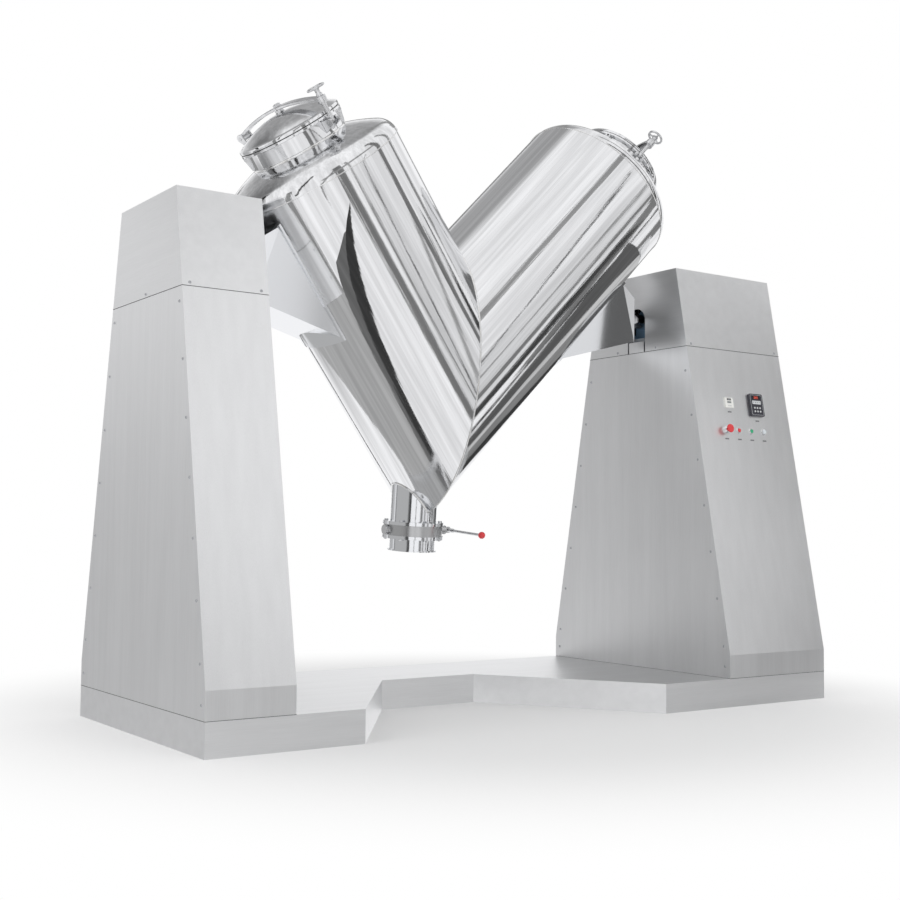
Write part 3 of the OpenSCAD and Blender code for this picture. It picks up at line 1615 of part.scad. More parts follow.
module valve_lever() {
  color(bright_steel) in_drum() on_outlet(valve_middle) translate([lever_reach, 0, 0]) {
    translate([-lever_hub_height / 2, 0, 0]) rotate([0, 90, 0])
      cylinder(r = lever_hub_radius, h = lever_hub_height);
    rotate([90, 0, 0]) cylinder(r = lever_bar_radius, h = lever_length);
  }
}

module lever_knob() {
  color(signal_red) in_drum() on_outlet(valve_middle)
    translate([lever_reach, -lever_length, 0]) rotate([90, 0, 0]) rotate_extrude() difference() {
      intersection() {
        circle(r = lever_ball_radius);
        translate([0, -lever_ball_radius]) square([lever_ball_radius, 2 * lever_ball_radius]);
      }
      translate([0, -lever_ball_radius - cut])
        square([lever_bar_radius + weld_gap, lever_ball_radius + cut + weld_gap]);
    }
}

base_cover();
base_frame();
left_post();
right_post();
left_wrap();
right_wrap();
left_inner_panel();
left_outer_panel();
right_inner_panel();
right_outer_panel();
left_head();
right_head();
panel_screws();
bearings();
gearbox();
input_pulley();
motor();
motor_pulley();
v_belts();
control_box();
supply_gland();
timer();
keypad();
keypad_key_1();
keypad_key_2();
keypad_key_3();
keypad_key_4();
keypad_key_5();
keypad_key_6();
control_trim();
pilot_lamp();
estop_head();
stop_cap();
start_cap();
left_leg();
right_leg();
left_dish();
right_dish();
left_manway();
right_manway();
left_bracket();
right_bracket();
left_shaft();
right_shaft();
outlet_neck();
valve_body();
valve_seat();
valve_bolts();
spout();
valve_disc();
valve_lever();
lever_knob();
left_lid();
right_lid();
left_gasket();
right_gasket();
left_yoke();
right_yoke();
left_clamp();
right_clamp();
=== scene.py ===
"""Looks of a tumbling powder mixer: polished V drum between two satin steel pillars.

Everything is in metres in the row frame: X along the drum's shaft, -Y the front, Z up.
Outlines of small turned pieces are written in millimetres.
"""

import logging
import math
from dataclasses import dataclass
from enum import Enum
from typing import Callable, Iterable, Optional, Sequence, Union

import bmesh
import bpy
from mathutils import Matrix, Vector


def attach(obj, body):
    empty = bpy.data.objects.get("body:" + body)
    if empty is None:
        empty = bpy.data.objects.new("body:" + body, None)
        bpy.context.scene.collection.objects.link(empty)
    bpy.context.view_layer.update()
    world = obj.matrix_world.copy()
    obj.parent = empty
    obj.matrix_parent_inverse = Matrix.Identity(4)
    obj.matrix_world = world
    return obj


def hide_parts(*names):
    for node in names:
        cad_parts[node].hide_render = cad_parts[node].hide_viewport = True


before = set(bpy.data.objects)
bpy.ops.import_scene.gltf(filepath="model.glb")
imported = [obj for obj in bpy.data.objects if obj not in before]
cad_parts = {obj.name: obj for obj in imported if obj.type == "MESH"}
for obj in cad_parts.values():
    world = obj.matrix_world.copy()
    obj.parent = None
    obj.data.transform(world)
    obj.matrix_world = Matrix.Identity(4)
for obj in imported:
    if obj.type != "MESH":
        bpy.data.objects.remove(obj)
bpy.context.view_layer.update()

log = logging.getLogger("powder_mixer")

TAU = 2 * math.pi
MM = 0.001
TINY = 1e-9
UP = Vector((0, 0, 1))
FACE_SLOPE = 10.631

Number = Union[int, float]
Point2 = tuple[float, float]
Triple = tuple[float, float, float]
Build = bmesh.types.BMesh


class Side(Enum):
    """Which side of the machine a piece is on."""

    LEFT = "left"
    RIGHT = "right"


# Frames


def turned(axis: str, degrees: float) -> Matrix:
    """Rotation about an axis through the origin."""
    return Matrix.Rotation(math.radians(degrees), 4, axis)


def moved(x: float = 0.0, y: float = 0.0, z: float = 0.0) -> Matrix:
    """Translation."""
    return Matrix.Translation((x, y, z))


@dataclass(frozen=True)
class DrumPlan:
    """Where the drum's legs, lids and outlet lie."""

    offset: float = 0.260
    axle: float = 1.780
    lean: float = 4.8
    junction: float = 0.3685
    left_lean: float = 37.45
    right_lean: float = 42.88
    left_length: float = 1.000
    right_length: float = 1.270
    radius: float = 0.380
    wall: float = 0.005
    crown: float = 0.760
    knuckle: float = 0.076
    clamp_turn: float = 76.0
    outlet_offset: float = 0.033
    outlet_radius: float = 0.100

    def drum(self) -> Matrix:
        """Frame of the drum."""
        return moved(-self.offset, 0, self.axle) @ turned("X", self.lean)

    def leg(self, side: Side) -> Matrix:
        """Frame of a leg, Z along its axis and X toward the inside of the V."""
        lean = -self.left_lean if side is Side.LEFT else self.right_lean
        flip = Matrix.Scale(1 if side is Side.LEFT else -1, 4, Vector((1, 0, 0)))
        return self.drum() @ moved(0, 0, -self.junction) @ turned("Y", lean) @ flip

    def axis(self, side: Side) -> Triple:
        """Direction of a leg's axis."""
        return tuple((self.leg(side).to_3x3() @ UP).normalized())

    def length(self, side: Side) -> float:
        """Length of a leg's tube."""
        return self.left_length if side is Side.LEFT else self.right_length

    def manway(self, side: Side) -> Matrix:
        """Frame of a manway, Z from the end of the leg's tube."""
        return self.leg(side) @ moved(0, 0, self.length(side))

    def clamp(self, side: Side) -> Matrix:
        """Frame of a manway with X toward its clamp."""
        return self.manway(side) @ turned("Z", -self.clamp_turn)

    def outlet(self, height: float) -> Matrix:
        """Frame on the outlet's axis at a height of the drum's frame."""
        return self.drum() @ moved(-self.outlet_offset, 0, height)

    def seam_slope(self) -> float:
        """Rise of the seam per distance from the leg's axis."""
        return 1 / math.tan(math.radians((self.left_lean + self.right_lean) / 2))


PLAN = DrumPlan()


# Shader graphs


class Sock:
    """A shader socket that takes part in Python expressions."""

    def __init__(self, graph: "Graph", socket: bpy.types.NodeSocket) -> None:
        """Wraps one output socket of a graph."""
        self.graph = graph
        self.socket = socket

    def _math(self, operation: str, first: "Feed", second: "Feed") -> "Sock":
        """Adds one Math node and returns its value."""
        return self.graph.node("ShaderNodeMath", {"operation": operation}, {0: first, 1: second})

    def __add__(self, other: "Feed") -> "Sock":
        """Sum."""
        return self._math("ADD", self, other)

    def __radd__(self, other: "Feed") -> "Sock":
        """Sum with a number in front."""
        return self._math("ADD", other, self)

    def __sub__(self, other: "Feed") -> "Sock":
        """Difference."""
        return self._math("SUBTRACT", self, other)

    def __rsub__(self, other: "Feed") -> "Sock":
        """Difference from a number."""
        return self._math("SUBTRACT", other, self)

    def __mul__(self, other: "Feed") -> "Sock":
        """Product."""
        return self._math("MULTIPLY", self, other)

    def __rmul__(self, other: "Feed") -> "Sock":
        """Product with a number in front."""
        return self._math("MULTIPLY", other, self)


Feed = Union[Sock, Number, Sequence[float]]


class Graph:
    """Node tree of a material or of the world."""

    def __init__(self, tree: bpy.types.NodeTree) -> None:
        """Empties a node tree and keeps it."""
        self.tree = tree
        tree.nodes.clear()

    def node(
        self,
        kind: str,
        settings: Optional[dict[str, object]] = None,
        feeds: Optional[dict[Union[int, str], Feed]] = None,
        output: Union[int, str] = 0,
    ) -> Sock:
        """Adds any node.

        Args:
            kind: The node's type.
            settings: Its settings, set first.
            feeds: Values or sockets of its inputs, by name or number.
            output: Name or number of the output to return.

        Returns:
            The wrapped output.
        """
        node = self.tree.nodes.new(kind)
        for key, value in (settings or {}).items():
            setattr(node, key, value)
        for key, value in (feeds or {}).items():
            target = node.inputs[key]
            if isinstance(value, Sock):
                self.tree.links.new(value.socket, target)
            elif isinstance(value, (int, float)):
                target.default_value = value
            elif len(value) == 3 and len(target.default_value) == 4:
                target.default_value = (*value, 1.0)
            else:
                target.default_value = value
        return Sock(self, node.outputs[output] if len(node.outputs) else node.inputs[0])

    def smooth(self, value: Feed, low: float, high: float) -> Sock:
        """Smooth step of a value from 0 at low to 1 at high."""
        feeds = {"Value": value, "From Min": low, "From Max": high}
        return self.node("ShaderNodeMapRange", {"interpolation_type": "SMOOTHSTEP"}, feeds)

    def mix(self, factor: Feed, first: Feed, second: Feed) -> Sock:
        """Mix of two colours."""
        return self.node("ShaderNodeMix", {"data_type": "RGBA"}, {0: factor, 6: first, 7: second}, 2)

    def place(self) -> Sock:
        """The point on the surface, in the object's own metres."""
        return self.node("ShaderNodeTexCoord", output="Object")

    def along(self, vector: Sock, direction: Sequence[float]) -> Sock:
        """Length of a vector along a direction."""
        settings = {"operation": "DOT_PRODUCT"}
        return self.node("ShaderNodeVectorMath", settings, {0: vector, 1: direction}, "Value")

    def noise(self, vector: Sock, scale: float, detail: float = 3.0, rough: float = 0.5) -> Sock:
        """Noise value from 0 to 1."""
        feeds = {"Vector": vector, "Scale": scale, "Detail": detail, "Roughness": rough}
        return self.node("ShaderNodeTexNoise", None, feeds)

    def streaks(self, grain: Sequence[float], scales: Point2, detail: float, rough: float = 0.5) -> Sock:
        """Noise that is stretched along a grain.

        Args:
            grain: Direction of the grain.
            scales: Scales across and along the grain, per metre.
            detail: Detail of the noise.
            rough: Roughness of the noise.

        Returns:
            Its value from 0 to 1.
        """
        axis = Vector(grain).normalized()
        first = axis.orthogonal().normalized()
        second = axis.cross(first)
        across, length = scales
        point = self.place()
        parts = (first * across, second * across, axis * length)
        feeds = {number: self.along(point, part) for number, part in enumerate(parts)}
        return self.noise(self.node("ShaderNodeCombineXYZ", None, feeds), 1.0, detail, rough)

    def bump(self, height: Sock, distance: float, strength: float, normal: Optional[Sock] = None) -> Sock:
        """Normal of a bumpy surface."""
        feeds: dict[Union[int, str], Feed] = {"Height": height, "Distance": distance, "Strength": strength}
        if normal is not None:
            feeds["Normal"] = normal
        return self.node("ShaderNodeBump", None, feeds)

    def solid(self, colour: Feed, roughness: Feed, normal: Sock, metallic: float = 0.0) -> Sock:
        """Shader of an opaque surface."""
        feeds = {"Base Color": colour, "Roughness": roughness, "Normal": normal, "Metallic": metallic}
        return self.node("ShaderNodeBsdfPrincipled", None, feeds)

    def flat(self, shade: float) -> Sock:
        """Shader that shows an even grey, where 1 is white."""
        return self.node("ShaderNodeEmission", None, {"Color": (shade, shade, shade), "Strength": 1.0})


def new_material(name: str, surface: Callable[[Graph], Sock]) -> bpy.types.Material:
    """Makes a material from the function that builds its shader."""
    made = bpy.data.materials.new(name)
    made.use_nodes = True
    graph = Graph(made.node_tree)
    graph.node("ShaderNodeOutputMaterial", None, {"Surface": surface(graph)})
    return made


# Finishes


@dataclass(frozen=True)
class Finish:
    """A surface finish that builds one material."""

    name: str
    colour: Triple

    def shaded(self, share: float) -> Triple:
        """The colour times a share."""
        return tuple(channel * share for channel in self.colour)

    def surface(self, graph: Graph) -> Sock:
        """Builds the shader of the finish."""
        raise NotImplementedError

    def material(self) -> bpy.types.Material:
        """Returns the finish's material, made once."""
        return bpy.data.materials.get(self.name) or new_material(self.name, self.surface)


@dataclass(frozen=True)
class SatinSheet(Finish):
    """Brushed stainless sheet with a fine grain."""

    grain: Triple = (0.0, 0.0, 1.0)
    roughness: float = 0.33
    hair_scales: Point2 = (900.0, 9.0)
    band_scales: Point2 = (24.0, 1.2)
    cloud_scale: float = 3.0
    darkest_share: float = 0.9
    spread: float = 0.16
    depth: float = 0.00006

    def surface(self, graph: Graph) -> Sock:
        """Brushed grain in colour, roughness and bump."""
        hair = graph.streaks(self.grain, self.hair_scales, 4.0, 0.6)
        band = graph.streaks(self.grain, self.band_scales, 2.0)
        cloud = graph.noise(graph.place(), self.cloud_scale)
        shade = hair * 0.55 + band * 0.3 + cloud * 0.15
        colour = graph.mix(graph.smooth(shade, 0.3, 0.7), self.shaded(self.darkest_share), self.colour)
        roughness = shade * self.spread + (self.roughness - self.spread / 2)
        return graph.solid(colour, roughness, graph.bump(hair, self.depth, 0.35), 1.0)


@dataclass(frozen=True)
class MirrorSteel(Finish):
    """Mirror polished stainless with streaks along its axis: partly polishing marks, partly painted
    reflection streaks.
    """

    grain: Triple = (0.0, 0.0, 1.0)
    wave_height: float = 0.0042
    roughness: float = 0.02
    wave_scales: Point2 = (9.0, 0.55)
    streak_scales: Point2 = (46.0, 1.1)
    hair_scales: Point2 = (700.0, 6.0)
    # Colour share of the darkest streaks, partly painted reflection
    darkest_share: float = 0.72
    depth: float = 0.00002

    def surface(self, graph: Graph) -> Sock:
        """Streaks in colour and roughness, and a slow waviness across the grain; the colour streaks are
        partly painted reflection.
        """
        wave = graph.streaks(self.grain, self.wave_scales, 2.0)
        streak = graph.streaks(self.grain, self.streak_scales, 4.0, 0.6)
        hair = graph.streaks(self.grain, self.hair_scales, 2.0)
        # Darker colour streaks: partly polishing marks, partly painted reflection streaks
        polish_and_reflection_tone = graph.smooth(streak * 0.6 + wave * 0.4, 0.34, 0.68)
        colour = graph.mix(polish_and_reflection_tone, self.shaded(self.darkest_share), self.colour)
        roughness = streak * 0.06 + hair * 0.03 + self.roughness
        wavy = graph.bump(wave * 0.6 + streak * 0.16, self.wave_height, 0.5)
        return graph.solid(colour, roughness, graph.bump(hair, self.depth, 0.2, wavy), 1.0)


@dataclass(frozen=True)
class TurnedSteel(Finish):
    """Machined or polished small steel pieces."""

    roughness: float = 0.16
    mark_scale: float = 420.0
    wear_scale: float = 26.0
    darkest_share: float = 0.8
    depth: float = 0.00004

    def surface(self, graph: Graph) -> Sock:
        """Fine tool marks and a little handling wear."""
        marks = graph.noise(graph.place(), self.mark_scale)
        wear = graph.noise(graph.place(), self.wear_scale, 4.0)
        colour = graph.mix(graph.smooth(wear, 0.35, 0.7), self.shaded(self.darkest_share), self.colour)
        return graph.solid(colour, wear * 0.14 + self.roughness, graph.bump(marks, self.depth, 0.3), 1.0)


@dataclass(frozen=True)
class WeldBead(Finish):
    """Polished weld bead with its ripple."""

    tint: Triple = (0.80, 0.79, 0.77)
    ripple_scale: float = 260.0
    tint_scale: float = 18.0
    depth: float = 0.0003

    def surface(self, graph: Graph) -> Sock:
        """Ripples and a faint straw tint."""
        ripple = graph.noise(graph.place(), self.ripple_scale, 2.0)
        drift = graph.noise(graph.place(), self.tint_scale, 2.0)
        colour = graph.mix(graph.smooth(drift, 0.3, 0.7), self.colour, self.tint)
        return graph.solid(colour, ripple * 0.1 + 0.08, graph.bump(ripple, self.depth, 0.4), 1.0)


@dataclass(frozen=True)
class Paint(Finish):
    """Machine paint with orange peel and light scuffs."""

    roughness: float = 0.42
    peel_scale: float = 380.0
    scuff_scale: float = 14.0
    depth: float = 0.00012

    def surface(self, graph: Graph) -> Sock:
        """Orange peel in bump, scuffs in colour and roughness."""
        peel = graph.noise(graph.place(), self.peel_scale, 2.0)
        scuff = graph.smooth(graph.noise(graph.place(), self.scuff_scale, 5.0, 0.65), 0.55, 0.78)
        pale = tuple(min(1.0, channel * 1.25 + 0.03) for channel in self.colour)
        colour = graph.mix(scuff, self.colour, pale)
        return graph.solid(colour, scuff * 0.2 + self.roughness, graph.bump(peel, self.depth, 0.35))


@dataclass(frozen=True)
class Moulded(Finish):
    """Moulded plastic or rubber."""

    roughness: float = 0.35
    texture: float = 0.2
    spark_scale: float = 1600.0
    drift_scale: float = 60.0
    darkest_share: float = 0.86
    spread: float = 0.12
    depth: float = 0.00003

    def surface(self, graph: Graph) -> Sock:
        """Fine spark texture and a slight colour drift."""
        spark = graph.noise(graph.place(), self.spark_scale, 2.0)
        drift = graph.noise(graph.place(), self.drift_scale)
        colour = graph.mix(graph.smooth(drift, 0.3, 0.7), self.shaded(self.darkest_share), self.colour)
        roughness = drift * self.spread + (self.roughness - self.spread / 2)
        return graph.solid(colour, roughness, graph.bump(spark, self.depth, self.texture))


@dataclass(frozen=True)
class Display(Finish):
    """Dark or grey display glass."""

    glow: float = 0.0
    dust_scale: float = 300.0

    def surface(self, graph: Graph) -> Sock:
        """Smooth glass front with dust; glow lights the digits."""
        dust = graph.noise(graph.place(), self.dust_scale, 4.0)
        feeds = {
            "Base Color": self.colour,
            "Roughness": dust * 0.12 + 0.1,
            "Emission Color": self.colour,
            "Emission Strength": self.glow,
        }
        return graph.node("ShaderNodeBsdfPrincipled", None, feeds)


class Finishes(Enum):
    """Every finish of the machine."""

    PILLAR = SatinSheet("satin_sheet", (0.90, 0.905, 0.91))
    HEAD = SatinSheet("satin_sheet_head", (0.89, 0.895, 0.90), (0.0, 1.0, 0.0))
    BASE = SatinSheet("satin_sheet_base", (0.92, 0.925, 0.93), (1.0, 0.0, 0.0), 0.36)
    LEFT_MIRROR = MirrorSteel("mirror_steel_left", (0.93, 0.935, 0.945), PLAN.axis(Side.LEFT))
    RIGHT_MIRROR = MirrorSteel("mirror_steel_right", (0.93, 0.935, 0.945), PLAN.axis(Side.RIGHT))
    MIRROR = MirrorSteel("mirror_steel", (0.90, 0.905, 0.915), (0.0, 0.08, 1.0), 0.0012)
    VALVE = SatinSheet("cast_valve_steel", (0.62, 0.625, 0.63), (0.0, 0.0, 1.0), 0.3)
    STEEL = TurnedSteel("turned_steel", (0.80, 0.805, 0.815))
    SHAFT = TurnedSteel("shaft_steel", (0.70, 0.705, 0.715), 0.12)
    SCREW = TurnedSteel("screw_steel", (0.46, 0.465, 0.475), 0.22)
    TRIM = TurnedSteel("trim_chrome", (0.84, 0.845, 0.855), 0.06)
    LABEL = TurnedSteel("label_plate", (0.36, 0.36, 0.37), 0.3)
    IRON = TurnedSteel("machined_iron", (0.28, 0.285, 0.30), 0.3)
    WELD = WeldBead("weld_bead", (0.88, 0.885, 0.89))
    FRAME = Paint("frame_paint", (0.10, 0.115, 0.13))
    DRIVE = Paint("drive_paint", (0.035, 0.10, 0.22))
    BOX = Paint("box_paint", (0.62, 0.62, 0.58))
    RUBBER = Moulded("black_rubber", (0.012, 0.012, 0.012), 0.62, 0.4)
    # Near-black strips in the cover seams: painted shade
    GAP = Moulded("shadow_gap", (0.03, 0.03, 0.032), 0.6)
    BLACK = Moulded("black_plastic", (0.010, 0.011, 0.016), 0.28)
    WHITE = Moulded("white_plastic", (0.80, 0.80, 0.77), 0.34)
    PALE = Moulded("pale_print", (0.66, 0.68, 0.70), 0.4)
    KEYS = Moulded("grey_keys", (0.55, 0.56, 0.58), 0.45)
    RED = Moulded("red_plastic", (0.62, 0.016, 0.022), 0.22, 0.1)
    GREEN = Moulded("green_plastic", (0.02, 0.24, 0.10), 0.24, 0.1)
    LENS = Moulded("milky_lens", (0.74, 0.79, 0.83), 0.12, 0.05)
    GLASS = Display("dark_display", (0.012, 0.013, 0.018))
    GREY_GLASS = Display("grey_display", (0.26, 0.28, 0.28))
    DIGITS = Display("display_digits", (0.75, 0.10, 0.06), 0.7)


MIRROR_OF = {Side.LEFT: Finishes.LEFT_MIRROR, Side.RIGHT: Finishes.RIGHT_MIRROR}


# Outlines


def mm(*points: Point2) -> list[Point2]:
    """Outline from points in millimetres."""
    return [(x * MM, y * MM) for x, y in points]


def arc(centre: Point2, radius: float, degrees: Iterable[float]) -> list[Point2]:
    """Points of an arc at the given angles."""
    turns = [math.radians(angle) for angle in degrees]
    return [(centre[0] + radius * math.cos(a), centre[1] + radius * math.sin(a)) for a in turns]


def hexagon(radius: float) -> list[Point2]:
    """Outline of a hexagon with the given corner radius."""
    return arc((0, 0), radius, range(0, 360, 60))


def round_outline(width: float, height: float, corner: float, steps: int) -> list[Point2]:
    """Outline of a centred rectangle with round corners."""
    points = []
    for quarter, (right, upper) in enumerate(((1, 1), (-1, 1), (-1, -1), (1, -1))):
        centre = (right * (width / 2 - corner), upper * (height / 2 - corner))
        points += arc(centre, corner, [90 * (quarter + i / steps) for i in range(steps + 1)])
    return points


def section(inner: float, outer: float, low: float, high: float) -> list[Point2]:
    """Section of a plain ring."""
    return [(inner, low), (outer, low), (outer, high), (inner, high)]


def circle_points(radius: float, height: float, steps: int) -> list[Vector]:
    """Points of a circle round Z."""
    turns = [TAU * i / steps for i in range(steps)]
    return [Vector((radius * math.cos(a), radius * math.sin(a), height)) for a in turns]


# Meshes


def join_rings(mesh: Build, low: Sequence[bmesh.types.BMVert], high: Sequence[bmesh.types.BMVert]) -> None:
    """Closes the band between two rings, either of which may be one point."""
    count = max(len(low), len(high))
    for i in range(count):
        j = (i + 1) % count
        corners = (low[i % len(low)], low[j % len(low)], high[j % len(high)], high[i % len(high)])
        unique = list(dict.fromkeys(corners))
        if len(unique) > 2:
            mesh.faces.new(unique)


def lathe(mesh: Build, outline: Sequence[Point2], place: Matrix = Matrix(), segments: int = 64) -> None:
    """Turns an outline of (radius, height) round Z.

    Args:
        mesh: The mesh that gets the form.
        outline: The outline; an end with radius 0 closes to a point.
        place: Frame of the form in the mesh.
        segments: Number of steps round the axis.
    """
    rings = []
    for radius, height in outline:
        points = circle_points(radius, height, segments if radius > TINY else 1)
        rings.append([mesh.verts.new(place @ point) for point in points])
    for low, high in zip(rings, rings[1:]):
        join_rings(mesh, low, high)


def ring(mesh: Build, outline: Sequence[Point2], place: Matrix = Matrix(), segments: int = 64) -> None:
    """Turns a closed outline, such as a ring's section, round Z."""
    lathe(mesh, [*outline, outline[0]], place, segments)
    bmesh.ops.remove_doubles(mesh, verts=mesh.verts, dist=1e-7)


def sweep(mesh: Build, path: Sequence[Vector], radius: float, sides: int, closed: bool = False) -> None:
    """Sweeps a round bar along a path.

    Args:
        mesh: The mesh that gets the bar.
        path: Points of its middle line.
        radius: Its radius.
        sides: Number of sides.
        closed: Whether the path is a loop.
    """
    count = len(path)
    tangents = []
    for i in range(count):
        before = path[i - 1] if (closed or i > 0) else path[i]
        after = path[(i + 1) % count] if (closed or i < count - 1) else path[i]
        tangents.append((after - before).normalized())
    normal = tangents[0].orthogonal().normalized()
    turns = [TAU * k / sides for k in range(sides)]
    rings = []
    for point, tangent in zip(path, tangents):
        normal = (normal - tangent * normal.dot(tangent)).normalized()
        other = tangent.cross(normal)
        around = [point + radius * (math.cos(a) * normal + math.sin(a) * other) for a in turns]
        rings.append([mesh.verts.new(corner) for corner in around])
    for low, high in zip(rings, rings[1:]):
        join_rings(mesh, low, high)
    if closed:
        shift = min(range(sides), key=lambda k: (rings[0][k].co - rings[-1][0].co).length)
        join_rings(mesh, rings[-1], rings[0][shift:] + rings[0][:shift])
    else:
        mesh.faces.new(rings[0])
        mesh.faces.new(rings[-1])


def prism(mesh: Build, outline: Sequence[Point2], low: float, high: float, place: Matrix = Matrix()) -> None:
    """Carries an outline in X and Y from one height to another."""
    bottom = [mesh.verts.new(place @ Vector((x, y, low))) for x, y in outline]
    top = [mesh.verts.new(place @ Vector((x, y, high))) for x, y in outline]
    mesh.faces.new(bottom)
    mesh.faces.new(top)
    join_rings(mesh, bottom, top)


def box(mesh: Build, low: Sequence[float], high: Sequence[float], place: Matrix = Matrix()) -> None:
    """Adds a box between two corners."""
    outline = [(low[0], low[1]), (high[0], low[1]), (high[0], high[1]), (low[0], high[1])]
    prism(mesh, outline, low[2], high[2], place)


# Objects


def new_object(name: str, mesh: Build) -> bpy.types.Object:
    """Turns a mesh into an object of the scene and frees it."""
    data = bpy.data.meshes.new(name)
    mesh.to_mesh(data)
    mesh.free()
    made = bpy.data.objects.new(name, data)
    bpy.context.scene.collection.objects.link(made)
    return made


def add_piece(
    name: str,
    mesh: Build,
    place: Matrix,
    finish: Finishes,
    body: str,
    slot: str,
    stands_for: Sequence[str] = (),
    round_edges: float = 0.0,
    sharp_angle: float = 32.0,
) -> bpy.types.Object:
    """Turns a mesh into a piece that rides on a body.

    Args:
        name: The piece's name.
        mesh: Its mesh in its own frame, freed here.
        place: The frame's matrix.
        finish: Its finish.
        body: The body that it rides on.
        slot: The material slot of the record; not used.
        stands_for: The solids that it replaces.
        round_edges: Width of its edge rounding.
        sharp_angle: Edges over this angle stay sharp.

    Returns:
        The piece.
    """
    mesh.transform(place)
    bmesh.ops.recalc_face_normals(mesh, faces=mesh.faces)
    for face in mesh.faces:
        face.smooth = True
    for edge in mesh.edges:
        if len(edge.link_faces) == 2 and edge.calc_face_angle(0.0) > math.radians(sharp_angle):
            edge.smooth = False
    piece = new_object(name, mesh)
    piece.data.materials.append(finish.value.material())
    if round_edges > 0:
        rounding = piece.modifiers.new("edge_rounding", "BEVEL")
        rounding.width = round_edges
        rounding.segments = 2
        rounding.limit_method = "ANGLE"
        rounding.angle_limit = math.radians(40)
        rounding.harden_normals = True
    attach(piece, body)
    if stands_for:
        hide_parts(*stands_for)
    log.info("%s: %d faces on %s, %s", name, len(piece.data.polygons), body, finish.value.name)
    return piece


def add_weld(
    name: str, path: Sequence[Vector], place: Matrix, radius: float, sides: int = 8, closed: bool = True
) -> None:
    """Adds a round weld bead on the drum.

    Args:
        name: The piece's name.
        path: Points of its middle line.
        place: The frame of the path.
        radius: Its radius.
        sides: Number of its sides.
        closed: Whether the path is a loop.
    """
    mesh = bmesh.new()
    sweep(mesh, path, radius, sides, closed)
    add_piece(name, mesh, place, Finishes.WELD, "drum", "mirror_steel", sharp_angle=180)


def dress(names: Iterable[str], finish: Finishes) -> None:
    """Gives carried-over solids a finish in their own slots."""
    for name in names:
        for material_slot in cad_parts[name].material_slots:
            material_slot.material = finish.value.material()
        log.info("%s: carried over, %s", name, finish.value.name)


# Drum


@dataclass
class DrumShell:
    """One leg with its domed end, as one polished shell."""

    side: Side
    neck_radius: float = 0.2023
    columns: int = 224
    tube_rows: int = 26
    row_crowding: float = 1.3
    knuckle_steps: int = 14
    crown_steps: int = 18
    seam_gap: float = 0.0002
    opening_radius: float = 0.096
    opening_bottom: float = -1.10
    opening_top: float = -0.45

    def dome(self, inset: float) -> list[Point2]:
        """Outline of the domed end above the tube.

        Args:
            inset: Distance inside the outer face.

        Returns:
            Points as (radius, height above the tube's end).
        """
        crown, knuckle, outer = PLAN.crown, PLAN.knuckle, PLAN.radius
        half = math.asin((outer - knuckle) / (crown - knuckle))
        centre = -(crown - knuckle) * math.cos(half)
        points = []
        size = knuckle - inset
        for i in range(1, self.knuckle_steps + 1):
            angle = (math.pi / 2 - half) * i / self.knuckle_steps
            points.append((outer - knuckle + size * math.cos(angle), size * math.sin(angle)))
        size = crown - inset
        end = math.asin(self.neck_radius / size)
        for i in range(1, self.crown_steps + 1):
            angle = half + (end - half) * i / self.crown_steps
            points.append((size * math.sin(angle), centre + size * math.cos(angle)))
        return points

    def surface(self, mesh: Build, inset: float) -> list[list[bmesh.types.BMVert]]:
        """Adds one face of the shell and returns its rings of points."""
        radius = PLAN.radius - inset
        length = PLAN.length(self.side)
        rings = []
        angles = [TAU * i / self.columns for i in range(self.columns)]
        for row in range(self.tube_rows + 1):
            share = (row / self.tube_rows) ** self.row_crowding
            points = []
            for angle in angles:
                x = radius * math.cos(angle)
                foot = x * PLAN.seam_slope() + self.seam_gap
                points.append(mesh.verts.new((x, radius * math.sin(angle), foot + (length - foot) * share)))
            rings.append(points)
        for r, h in self.dome(inset):
            rings.append([mesh.verts.new((r * math.cos(a), r * math.sin(a), length + h)) for a in angles])
        return rings

    def build(self) -> None:
        """Builds the shell and its weld beads."""
        mesh = bmesh.new()
        outer = self.surface(mesh, 0.0)
        inner = self.surface(mesh, PLAN.wall)
        ends = ((outer[0], inner[0]), (outer[-1], inner[-1]))
        for low, high in (*zip(outer, outer[1:]), *zip(inner, inner[1:]), *ends):
            join_rings(mesh, low, high)
        side = self.side.value
        nodes = (f"{side}_leg", f"{side}_dish")
        leg, finish = PLAN.leg(self.side), MIRROR_OF[self.side]
        shell = add_piece(f"{side}_polished_shell", mesh, leg, finish, "drum", "mirror_steel", nodes)
        self.open_outlet(shell)
        end = PLAN.manway(self.side)
        add_weld(f"{side}_dish_weld", circle_points(PLAN.radius + 0.0002, 0.0, 160), end, 0.0022, 6)
        height = self.dome(0.0)[-1][1]
        add_weld(f"{side}_neck_weld", circle_points(self.neck_radius + 0.001, height, 140), end, 0.0055)

    def open_outlet(self, shell: bpy.types.Object) -> None:
        """Cuts the outlet's opening into the shell."""
        mesh = bmesh.new()
        outline = section(0, self.opening_radius, self.opening_bottom, self.opening_top)
        lathe(mesh, outline, segments=96)
        mesh.transform(PLAN.outlet(0.0))
        bmesh.ops.recalc_face_normals(mesh, faces=mesh.faces)
        cutter = new_object("outlet_cutter", mesh)
        cut = shell.modifiers.new("outlet_opening", "BOOLEAN")
        cut.operation = "DIFFERENCE"
        cut.solver = "EXACT"
        cut.object = cutter
        bpy.context.view_layer.update()
        view = bpy.context.evaluated_depsgraph_get()
        result = bpy.data.meshes.new_from_object(shell.evaluated_get(view))
        shell.modifiers.remove(cut)
        spare = (shell.data, cutter.data)
        shell.data = result
        bpy.data.objects.remove(cutter)
        for data in spare:
            bpy.data.meshes.remove(data)


